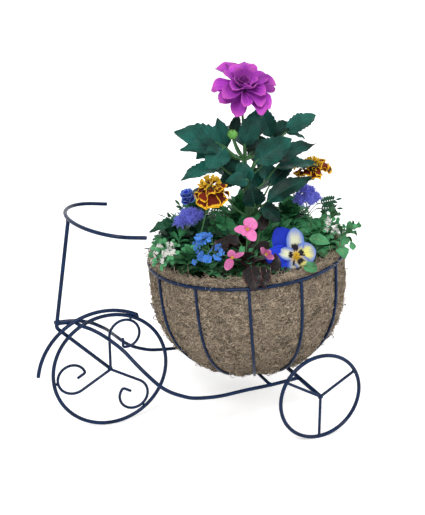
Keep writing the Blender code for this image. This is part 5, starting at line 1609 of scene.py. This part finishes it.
# What makes each kind of flower, the setting with its size, and its finish.
HEADS = {
    "marigold": (marigold_head, "marigold_radius", "marigold petal"),
    "ageratum": (ageratum_head, "ageratum_radius", "ageratum thread"),
    "viola": (viola_head, "viola_radius", "viola petal"),
    "lobelia": (lobelia_cluster, "lobelia_spread", "lobelia petal"),
    "alyssum": (alyssum_cluster, "alyssum_radius", "alyssum petal"),
    "begonia": (open_head, "begonia_radius", "begonia petal"),
    "pansy": (open_head, "pansy_radius", "pansy blue petal"),
}


class PLANTER_OT_flowers(bpy.types.Operator):
    """Bedding flowers on their stalks round the dahlia"""

    bl_idname = "planter.flowers"
    bl_label = "Bedding Flowers"

    def execute(self, context):
        bedding = context.scene.planter_bedding
        for name, kind, tuft, head_shares, aim in FLOWER_SHARES:
            make_head, size, petal = HEADS[kind]
            chance, shape, head = dice(name), Shape(), planted(head_shares)
            make_head(shape, face_on(head, aim), getattr(bedding, size), chance,
                      PETAL_ROWS.get(name))
            add_stalk(shape, tuft, head - unit(aim) * 0.003, aim)
            finishes = [petal, "green stem", "flower eye", "pansy pale petal", "pansy yellow petal",
                        "light leaf"]
            plant_piece(shape, f"{name}_flower", finishes, f"{kind}_petal", name)
        return {"FINISHED"}


# Foliage.

def pinnate(shape, foot, way, up, size, chance, slot, tint):
    """A ferny leaf: a thin rib with six pairs of narrow leaflets and one at the tip."""
    place = seat(foot, way, up)
    bend = chance.uniform(-0.5, 0.1)
    pairs, leaflet = 6, dict(outline="lance", across=4, teeth=0.5, tooth_count=4)

    def rib(s):
        return put(np.array([0, size * s, size * bend * s * s * 0.5]), place)

    shape.tube(strand([rib(s) for s in np.linspace(0, 1, 6)], 0.0006), tint, slot)
    for k in range(pairs):
        s = 0.25 + 0.70 * k / pairs
        long_ = size * 0.30 * (1.1 - 0.55 * abs(s - 0.5))
        for side in (-1, 1):
            local = np.array([side * 0.9, 0.62, 0.12 + chance.normal(0, 0.12)])
            grid = blade(long_, long_ * 0.20, fold=0.15, curl=-0.4, **leaflet)
            shape.sheet(put(grid, seat(rib(s), place[0] @ local, place[0][:, 2])), 0.00035,
                        np.clip(tint + chance.normal(0, 0.1), 0, 1), slot)
    grid = blade(size * 0.30, size * 0.30 * 0.20, **leaflet)
    shape.sheet(put(grid, seat(rib(1), place[0][:, 1], place[0][:, 2])), 0.00035, tint, slot)


LEAF_FINISHES = ("green leaf", "light leaf", "dark leaf", "bronze leaf", "green stem")
# Leaves of each tuft: kind of leaf, finish, how many, length and half width in millimetres, and
# how many more lie between the tufts.
TUFT_LEAVES = {
    "alyssum_tuft_left": (("small", "green", 60, 20, 5.6, 90), ("ferny", "dark", 8, 34, 0, 0),
                          ("narrow", "light", 40, 18, 3.2, 60)),
    "begonia_tuft": (("round", "bronze", 10, 27, 12, 16), ("narrow", "light", 24, 18, 3.0, 60),
                     ("oval", "green", 20, 23, 7.0, 90)),
    "pansy_tuft": (("oval", "green", 34, 25, 8.5, 90), ("round", "bronze", 6, 26, 12, 10)),
    "alyssum_tuft_right": (("small", "light", 84, 19, 5.0, 80), ("ferny", "green", 8, 34, 0, 0),
                           ("oval", "green", 20, 25, 8.5, 60)),
    "ageratum_tuft_right": (("oval", "green", 50, 27, 10, 60), ("ferny", "dark", 12, 40, 0, 0)),
    "grass_tuft_right": (("grass", "green", 90, 62, 1.5, 0), ("oval", "green", 40, 27, 9, 60)),
    "grass_tuft_left": (("ferny", "dark", 30, 44, 0, 0), ("oval", "green", 40, 27, 9, 60)),
    "ageratum_tuft_left": (("ferny", "dark", 20, 36, 0, 0), ("oval", "dark", 44, 26, 9, 60)),
}
# Sprigs set one by one: kind of leaf, finish, foot and tip as shares of the plant height, and
# either one leaf with its half width as a share or a rosette with its leaves' length.
SPRIGS = {
    "ageratum_tuft_left": (
        ("oval", "dark", (-0.32, 0.14, 0.21), (-0.49, 0.12, 0.18), 1, 0.17),
        ("ferny", "dark", (-0.13, 0.11, 0.22), (-0.25, 0.08, 0.17), 1, 0),
        ("ferny", "dark", (-0.13, 0.06, 0.20), (-0.24, 0.01, 0.14), 1, 0),
        ("ferny", "green", (-0.15, 0.16, 0.23), (-0.04, 0.10, 0.22), 1, 0),
    ),
    "pansy_tuft": (
        ("round", "light", (0.10, -0.50, 0.06), (0.15, -0.54, 0.04), 1, 0.44),
        ("oval", "light", (0.25, -0.27, 0.11), (0.34, -0.33, 0.08), 1, 0.3),
        ("round", "bronze", (-0.08, -0.35, 0.07), (-0.01, -0.46, 0.06), 1, 0.46),
    ),
    "begonia_tuft": (
        ("oval", "bronze", (-0.25, -0.18, 0.11), (-0.15, -0.16, 0.15), 1, 0.34),
        ("oval", "bronze", (0.05, -0.10, 0.14), (0.13, -0.03, 0.21), 1, 0.24),
        ("oval", "bronze", (-0.08, -0.22, 0.10), (-0.16, -0.32, 0.07), 1, 0.3),
        ("oval", "bronze", (-0.04, -0.25, 0.10), (0.04, -0.24, 0.12), 1, 0.34),
        ("oval", "bronze", (-0.19, -0.30, 0.08), (-0.15, -0.36, 0.05), 1, 0.3),
        ("oval", "bronze", (-0.160, -0.440, 0.100), (-0.190, -0.538, 0.000), 1, 0.34),
        ("oval", "bronze", (-0.120, -0.450, 0.088), (-0.140, -0.548, 0.012), 1, 0.36),
        ("round", "bronze", (-0.097, -0.362, 0.084), (-0.003, -0.415, 0.058), 1, 0.46),
        ("round", "bronze", (-0.130, -0.340, 0.105), (-0.172, -0.440, 0.098), 1, 0.40),
        ("oval", "bronze", (-0.088, -0.145, 0.119), (-0.171, -0.122, 0.154), 1, 0.34),
        ("small", "green", (-0.34, -0.25, 0.06), (-0.33, -0.25, 0.07), 6, 15),
        ("small", "green", (-0.14, 0.04, 0.18), (-0.14, 0.02, 0.19), 7, 18),
    ),
    "alyssum_tuft_left": (
        ("oval", "green", (-0.41, 0.07, 0.09), (-0.45, 0.17, 0.11), 1, 0.34),
        ("oval", "green", (-0.44, -0.08, 0.07), (-0.41, -0.19, 0.05), 1, 0.3),
        ("small", "green", (-0.36, 0.04, 0.12), (-0.34, 0.07, 0.15), 8, 18),
        ("small", "green", (-0.44, 0.08, 0.09), (-0.44, 0.12, 0.11), 7, 17),
        ("small", "green", (-0.42, -0.16, 0.07), (-0.41, -0.14, 0.08), 8, 17),
        ("narrow", "light", (-0.39, -0.18, 0.07), (-0.37, -0.16, 0.09), 9, 17),
        ("ferny", "dark", (-0.15, 0.02, 0.18), (-0.10, -0.04, 0.14), 1, 0),
    ),
    "alyssum_tuft_right": (
        ("oval", "light", (0.37, -0.39, 0.07), (0.34, -0.48, 0.04), 1, 0.32),
        ("small", "light", (0.45, -0.35, 0.08), (0.43, -0.41, 0.05), 1, 0.24),
        ("small", "light", (0.42, -0.16, 0.12), (0.47, -0.11, 0.16), 8, 20),
        ("small", "light", (0.42, -0.30, 0.09), (0.47, -0.28, 0.11), 9, 19),
        ("small", "light", (0.50, -0.25, 0.10), (0.53, -0.25, 0.11), 5, 14),
        ("small", "light", (0.35, -0.40, 0.06), (0.38, -0.38, 0.08), 7, 17),
        ("oval", "green", (0.35, -0.21, 0.12), (0.38, -0.15, 0.14), 6, 20),
    ),
    "ageratum_tuft_right": (
        ("ferny", "dark", (0.455, 0.03, 0.18), (0.57, 0.01, 0.20), 1, 0),
        ("ferny", "dark", (0.45, 0.02, 0.16), (0.545, -0.04, 0.16), 1, 0),
    ),
}
# How high the leaves between the tufts stand, where they aren't full height.
COVER_SHARES = {"begonia_tuft": 0.60, "pansy_tuft": 0.40, "alyssum_tuft_right": 0.7}
COVER_RADIUS = 138.0 * MM
COVER_HEIGHT = 30.0 * MM
# Middle and radius, as shares of the plant height, where leaves stay low before a flower's face.
LOW_SPOTS = ((0.09, -0.50, 0.15), (-0.24, -0.47, 0.10))
LEAF_FORMS = {
    "narrow": dict(outline="lance", along=7, across=4, fold=0.2, curl=-0.5),
    "round": dict(outline="round", along=10, across=10, fold=0.05, cup=0.25, curl=-0.5, ruffle=0.03,
                  waves=2.0),
    "oval": dict(outline="ovate", across=6, fold=0.16, curl=-0.7, ruffle=0.03, teeth=0.2,
                 tooth_count=4),
    "small": dict(outline="spoon", along=8, across=6, fold=0.12, cup=0.2, curl=-0.6, ruffle=0.02),
    "grass": dict(outline="lance", along=10, across=2, fold=0.35, curl=-0.9),
}


class PLANTER_OT_foliage(bpy.types.Operator):
    """Leafy tufts of the bedding plants, which spill over the liner's edge"""

    bl_idname = "planter.foliage"
    bl_label = "Bedding Foliage"

    def execute(self, context):
        stem = len(LEAF_FINISHES) - 1
        for turn, (tuft, *_) in enumerate(TUFT_SHARES):
            shape = Shape()
            chance = dice(tuft)
            for kind, finish, number, size, half, cover in TUFT_LEAVES[tuft]:
                slot = LEAF_FINISHES.index(f"{finish} leaf")
                self.add_leaves(shape, tuft, kind, slot, number, size * MM, half * MM, chance, stem)
                self.add_cover(shape, turn, kind, slot, cover, size * MM, half * MM, chance,
                               COVER_SHARES.get(tuft, 1.0))
            for kind, finish, foot, tip, number, size in SPRIGS.get(tuft, ()):
                slot = LEAF_FINISHES.index(f"{finish} leaf")
                self.add_sprig(shape, tuft, kind, slot, planted(foot), planted(tip), number, size,
                               chance, stem)
            plant_piece(shape, f"{tuft}_leaves", LEAF_FINISHES,
                        "bronze_leaf" if tuft == "begonia_tuft" else "bedding_leaf", tuft)
        return {"FINISHED"}

    def add_sprig(self, shape, tuft, kind, slot, foot, tip, number, size, chance, stem):
        """A single leaf from foot to tip, or a rosette on a shoot that runs between them."""
        root = tuft_place(tuft, 0, 0)
        root = np.array([root[0] * 0.6 + foot[0] * 0.3, root[1] * 0.6 + foot[1] * 0.3, SOIL_TOP])
        way, look = unit(tip - foot), unit((-0.3, -0.75, 0.9))
        knee = foot * 0.7 + root * 0.3 - way * 0.004
        shape.tube(strand([root, knee, foot, foot + (tip - foot) * 0.3], 0.0008), 0.4, stem)
        if kind == "ferny":
            pinnate(shape, foot, way, look, norm(tip - foot), chance, slot, 0.5)
        elif number == 1:
            leaf_between(shape, foot, tip, size, look, 0.0005, chance.uniform(0.4, 0.8), slot,
                         **LEAF_FORMS[kind])
        else:
            side = unit(np.cross(way, look))
            for k in range(number):
                share, turn = (k + 0.5) / number, 2.4 * k
                out = side * cos(turn) + np.cross(side, way) * sin(turn)
                open_ = radians(80 - 55 * share + chance.normal(0, 7))
                long_ = size * MM * chance.uniform(0.8, 1.15)
                grid = blade(long_, long_ * 0.27, phase=chance.uniform(0, 6), **LEAF_FORMS[kind])
                place = seat(foot + (tip - foot) * share, way * cos(open_) + out * sin(open_), way)
                # Leaves higher up the shoot get a paler tint: painted light on its top and painted
                # shade on its low leaves.
                shape.sheet(put(grid, place), LEAF_THICKNESS,
                            np.clip(0.3 + 0.5 * share + chance.normal(0, 0.1), 0, 1), slot)

    def add_cover(self, shape, turn, kind, slot, number, size, half, chance, height_share):
        """Leaves over the soil from the dahlia out to the liner's edge, next to one tuft."""
        for _ in range(number):
            far = COVER_RADIUS * sqrt(chance.uniform(0.04, 1.0))
            a = tuft_turn(turn + chance.uniform(-0.55, 0.55))
            edge = min(1.0, max(0.0, (far / COVER_RADIUS - 0.6) / 0.3))
            high = COVER_HEIGHT * height_share * chance.uniform(0.3, 1.0) * (1 - 0.45 * edge)
            spot = np.array([far * cos(a), far * sin(a)])
            if any(norm(spot - planted(s[:2])) < planted(s[2]) for s in LOW_SPOTS):
                high *= 0.3
            level = SOIL_TOP * (1 - edge) + EDGE_TOP * 0.7 * edge + high
            heading = a + chance.normal(0, 0.8)
            tilt = radians(chance.uniform(30, 75) * (1 - edge) + chance.uniform(-32, 25) * edge)
            _, way, _ = tilted(heading, tilt)
            grid = blade(size * chance.uniform(0.75, 1.1), half * chance.uniform(0.8, 1.15),
                         phase=chance.uniform(0, 6), **LEAF_FORMS[kind])
            base = np.array([*spot, level]) - way * size * 0.5 * edge
            # The higher a leaf stands, the paler its tint: painted light on the top of the cover
            # and painted shade on the leaves low under it.
            shape.sheet(put(grid, seat(base, way)), LEAF_THICKNESS,
                        np.clip(high / COVER_HEIGHT * 0.8 + chance.normal(0, 0.12), 0, 1), slot)

    def add_leaves(self, shape, tuft, kind, slot, number, size, half, chance, stem):
        """Leaves that spring from a tuft's foot, upright in its middle and flat at its edge."""
        low, high = tuft_place(tuft, 0, 0.2), tuft_place(tuft, 1, 1)
        foot = np.array([low[0], low[1], SOIL_TOP])
        reach, ground = TUFT_RADIUS * 0.72, EDGE_TOP * 0.55
        for k in range(number):
            turn = 2 * pi * (k * 0.618 + chance.normal(0, 0.03))
            level = sqrt((k + 0.5) / number)
            up_share = 1.0 - level ** 2
            middle = low * (1 - up_share) + high * up_share
            spread = reach * level * chance.uniform(0.55, 0.95)
            tilt = radians(78 - 88 * level + chance.normal(0, 9))
            out, way, _ = tilted(turn, tilt)
            base = middle + out * spread * 0.75
            base[2] = ground + (high[2] - ground) * (up_share * 0.85 + 0.05)
            long_ = size * chance.uniform(0.75, 1.12)
            # Leaves higher up the tuft get a paler tint: painted light on the tuft's top and
            # painted shade on its low leaves.
            tint = np.clip(0.25 + 0.5 * up_share + chance.normal(0, 0.14), 0, 1)
            up = (0, 0, 1) if tilt < 1.2 else -out
            if kind == "ferny":
                base = middle * 0.75 + foot * 0.25 + out * spread * 0.3
                pinnate(shape, base, way, up, long_, chance, slot, tint)
                continue
            if kind == "grass":
                base = foot + out * 0.012 * level
                _, way, _ = tilted(turn, radians(86 - 34 * level + chance.normal(0, 5)))
            grid = blade(long_, half * chance.uniform(0.8, 1.15), phase=chance.uniform(0, 6),
                         **LEAF_FORMS[kind])
            shape.sheet(put(grid, seat(base, way, up)), LEAF_THICKNESS, tint, slot)
            if kind != "grass" and k % 2 == 0:
                mid = (foot + base) / 2 + out * 0.003
                shape.tube(strand([foot + out * 0.004, mid, base], 0.0009), 0.4, stem)


# Finishes, stage and panel.

class PLANTER_OT_finishes(bpy.types.Operator):
    """Shared shader effects and every finish of the planter"""

    bl_idname = "planter.finishes"
    bl_label = "Finishes"

    def execute(self, context):
        scene = context.scene
        wire, basket = scene.planter_wire, scene.planter_basket
        dahlia, bed = scene.planter_dahlia, scene.planter_bedding
        make_groups()
        powder_coat("powder coat", wire.paint, wire.dust)
        coco_fibre("coco fibre", basket.dark_fibre, basket.light_fibre)
        soil_finish("potting soil", basket.soil)
        stem_finish("green stem", (0.035, 0.115, 0.035))
        # Name, leaf, vein, side veins, gloss, contrast of the veins, edge and relief.
        for row in (
                ("dahlia leaf", dahlia.leaf, dahlia.leaf_vein, 8.0, 0.42, 0.4, None, 0.0007),
                ("bud", dahlia.bud, (0.30, 0.50, 0.16), 3.0, 0.45, 0.25, (0.30, 0.42, 0.10)),
                ("green leaf", bed.green_leaf, (0.16, 0.32, 0.10), 7.0, 0.45, 0.5),
                ("light leaf", bed.light_leaf, (0.34, 0.48, 0.18), 5.0, 0.5, 0.4),
                ("dark leaf", bed.dark_leaf, (0.07, 0.16, 0.06), 5.0, 0.5, 0.4),
                ("bronze leaf", bed.bronze_leaf, (0.12, 0.05, 0.04), 5.0, 0.32, 0.4,
                 (0.09, 0.015, 0.02))):
            leaf_finish(*row)
        # Name, petal, tip, foot, lines, gloss, sheen, how pale it gets, share of the tip's colour,
        # where that colour lies, and blotch.
        pansy_foot, blotch = (0.78, 0.48, 0.03), bed.pansy_blotch
        for row in (
                ("dahlia petal", dahlia.petal, dahlia.petal_edge, darker(dahlia.petal, 0.18),
                 16.0, 0.5, 0.08, 2.0, 0.6),
                ("marigold petal", bed.marigold_red, bed.marigold_yellow,
                 darker(bed.marigold_red, 0.35), 14.0, 0.6, 0.05, 1.6, 1.0, "Rim"),
                ("ageratum thread", bed.ageratum, (0.30, 0.28, 1.0), darker(bed.ageratum, 0.7),
                 4.0, 0.7, 0.1, 1.8, 0.5),
                ("viola petal", bed.viola, (0.20, 0.38, 0.85), darker(bed.viola, 0.5),
                 16.0, 0.5, 0.1, 2.6, 0.8),
                ("lobelia petal", bed.lobelia, (0.10, 0.26, 0.85), (0.30, 0.42, 0.85),
                 8.0, 0.5, 0.2, 1.8, 0.4),
                ("alyssum petal", bed.alyssum, (0.94, 0.94, 0.94), (0.78, 0.84, 0.70),
                 5.0, 0.6, 0.15, 1.1, 0.5),
                ("begonia petal", bed.begonia, (0.90, 0.32, 0.58), (0.62, 0.10, 0.28),
                 16.0, 0.42, 0.25, 1.25, 0.6),
                ("pansy blue petal", bed.pansy_blue, darker(bed.pansy_blue, 0.7),
                 (0.42, 0.58, 0.95), 22.0, 0.5, 0.1, 2.6, 0.6),
                ("pansy pale petal", bed.pansy_pale, bed.pansy_rim, pansy_foot,
                 22.0, 0.5, 0.1, 1.05, 0.95, "Side", blotch),
                ("pansy yellow petal", bed.pansy_yellow, bed.pansy_rim, pansy_foot,
                 22.0, 0.5, 0.1, 1.05, 0.95, "Side", blotch),
                ("flower eye", bed.yellow_eye, (0.9, 0.65, 0.08), (0.55, 0.25, 0.01),
                 4.0, 0.6, 0.1, 1.1, 0.3)):
            petal_finish(*row)
        return {"FINISHED"}


# Lamps: name, place, size in metres and watts.
LAMPS = (("key_lamp", (-1.3, -1.9, 2.3), 1.2, 48.0), ("fill_lamp", (2.0, -1.4, 1.6), 1.8, 20.0),
         ("back_lamp", (0.6, 2.0, 2.2), 1.6, 20.0))
LAMP_AIM = Vector((0, 0, 0.25))
CAMERA_PLACE = (-0.4752, -1.2630, 0.6891)
CAMERA_DEGREES = (71.92, 0.17, -22.07)
WHITE = (1.0, 1.0, 1.0)


class PLANTER_OT_stage(bpy.types.Operator):
    """Pale floor, soft lamps and the camera at the photograph's angle"""

    bl_idname = "planter.stage"
    bl_label = "Stage"

    def execute(self, context):
        scene = context.scene
        stage = scene.planter_stage
        half = stage.floor_size / 2
        mesh = bpy.data.meshes.new("studio_floor")
        corners = [(-half, -half, 0), (half, -half, 0), (half, half, 0), (-half, half, 0)]
        mesh.from_pydata(corners, [], [(0, 1, 2, 3)])
        mesh.materials.append(self.floor_finish(stage.floor))
        self.put_in(scene, "studio_floor", mesh)
        self.world(scene)
        for name, place, size, watts in LAMPS:
            lamp = bpy.data.lights.new(name, "AREA")
            lamp.energy, lamp.size = watts, size
            turn = (LAMP_AIM - Vector(place)).to_track_quat("-Z", "Y").to_euler()
            self.put_in(scene, name, lamp, place, turn)
        lens = bpy.data.cameras.new("photo_camera")
        lens.sensor_fit, lens.sensor_height, lens.lens = "VERTICAL", 24.0, stage.focal
        lens.clip_end = 100.0
        turn = [radians(a) for a in CAMERA_DEGREES]
        scene.camera = self.put_in(scene, "photo_camera", lens, CAMERA_PLACE, turn)
        scene.view_settings.view_transform = "Standard"
        return {"FINISHED"}

    def put_in(self, scene, name, data, place=(0, 0, 0), turn=(0, 0, 0)):
        """A new object in the scene."""
        thing = bpy.data.objects.new(name, data)
        thing.location, thing.rotation_euler = place, turn
        scene.collection.objects.link(thing)
        return thing

    def seen(self, tree):
        """1 where the camera or a glossy surface looks, 0 where light only falls."""
        path = add_node(tree, "LightPath").outputs
        return sums(tree, "MAXIMUM", path["Is Camera Ray"], path["Is Glossy Ray"])

    def floor_finish(self, tone):
        """Pale matt floor that the camera sees as white where no shadow falls."""
        finish = bpy.data.materials.new("studio floor")
        finish.use_nodes = True
        tree = finish.node_tree
        shader = tree.nodes["Principled BSDF"]
        place = add_node(tree, "TexCoord").outputs["Object"]
        mottle = noise_at(tree, place, 6.0, 4.0).outputs["Fac"]
        base = blended(tree, mottle, tone, darker(tone, 0.985))
        tree.links.new(base, shader.inputs["Base Color"])
        shader.inputs["Roughness"].default_value = 0.9
        shader.inputs["Specular IOR Level"].default_value = 0.1
        away = add_node(tree, "VectorMath", {0: place}, operation="LENGTH")
        strength = between(tree, away.outputs["Value"], 0.5, 3.0, 0.42, 0.62)
        glow = add_node(tree, "Emission", {"Color": WHITE, "Strength": strength})
        dark = add_node(tree, "Emission", {"Color": (0, 0, 0), "Strength": 0.0})
        choice = add_node(tree, "MixShader", {0: self.seen(tree), 1: dark.outputs[0],
                                                        2: glow.outputs[0]})
        both = add_node(tree, "AddShader", {0: shader.outputs[0], 1: choice.outputs[0]})
        tree.links.new(both.outputs[0], tree.nodes["Material Output"].inputs["Surface"])
        return finish

    def world(self, scene):
        """White to the camera, and softer as a light."""
        scene.world = bpy.data.worlds.new("studio")
        scene.world.use_nodes = True
        tree = scene.world.node_tree
        tree.nodes.clear()
        soft, white = [add_node(tree, "Background", {"Color": WHITE, "Strength": strength})
                       for strength in (0.55, 1.0)]
        mixed = add_node(tree, "MixShader", {0: self.seen(tree), 1: soft.outputs[0],
                                                       2: white.outputs[0]})
        add_node(tree, "OutputWorld", {"Surface": mixed.outputs[0]})


STEPS = (PLANTER_OT_finishes, PLANTER_OT_stage, PLANTER_OT_front_wheel, PLANTER_OT_steering,
         PLANTER_OT_chassis, PLANTER_OT_rear_wheels, PLANTER_OT_basket, PLANTER_OT_liner,
         PLANTER_OT_soil, PLANTER_OT_dahlia_plant, PLANTER_OT_dahlia_bloom, PLANTER_OT_dahlia_bud,
         PLANTER_OT_foliage, PLANTER_OT_flowers)
SETTINGS = {"planter_wire": WireSettings, "planter_basket": BasketSettings,
            "planter_dahlia": DahliaSettings, "planter_bedding": BeddingSettings,
            "planter_stage": StageSettings}


class PLANTER_PT_sidebar(bpy.types.Panel):
    """Steps that build the planter, and its sizes and colours"""

    bl_label = "Tricycle Planter"
    bl_idname = "PLANTER_PT_sidebar"
    bl_space_type = "VIEW_3D"
    bl_region_type = "UI"
    bl_category = "Planter"

    def draw(self, context):
        for step in STEPS:
            self.layout.operator(step.bl_idname)
        for name, group in SETTINGS.items():
            box = self.layout.box()
            box.label(text=group.__doc__)
            for key in group.__annotations__:
                box.prop(getattr(context.scene, name), key)


def register():
    for kind in (*SETTINGS.values(), *STEPS, PLANTER_PT_sidebar):
        bpy.utils.register_class(kind)
    for name, group in SETTINGS.items():
        setattr(bpy.types.Scene, name, bpy.props.PointerProperty(type=group))


def unregister():
    for name in SETTINGS:
        delattr(bpy.types.Scene, name)
    for kind in (PLANTER_PT_sidebar, *reversed(STEPS), *reversed(SETTINGS.values())):
        bpy.utils.unregister_class(kind)


def main():
    register()
    for step in STEPS:
        family, verb = step.bl_idname.split(".")
        if getattr(getattr(bpy.ops, family), verb)() != {"FINISHED"}:
            raise RuntimeError(f"{step.bl_label} didn't finish")


if __name__ == "__main__":
    main()
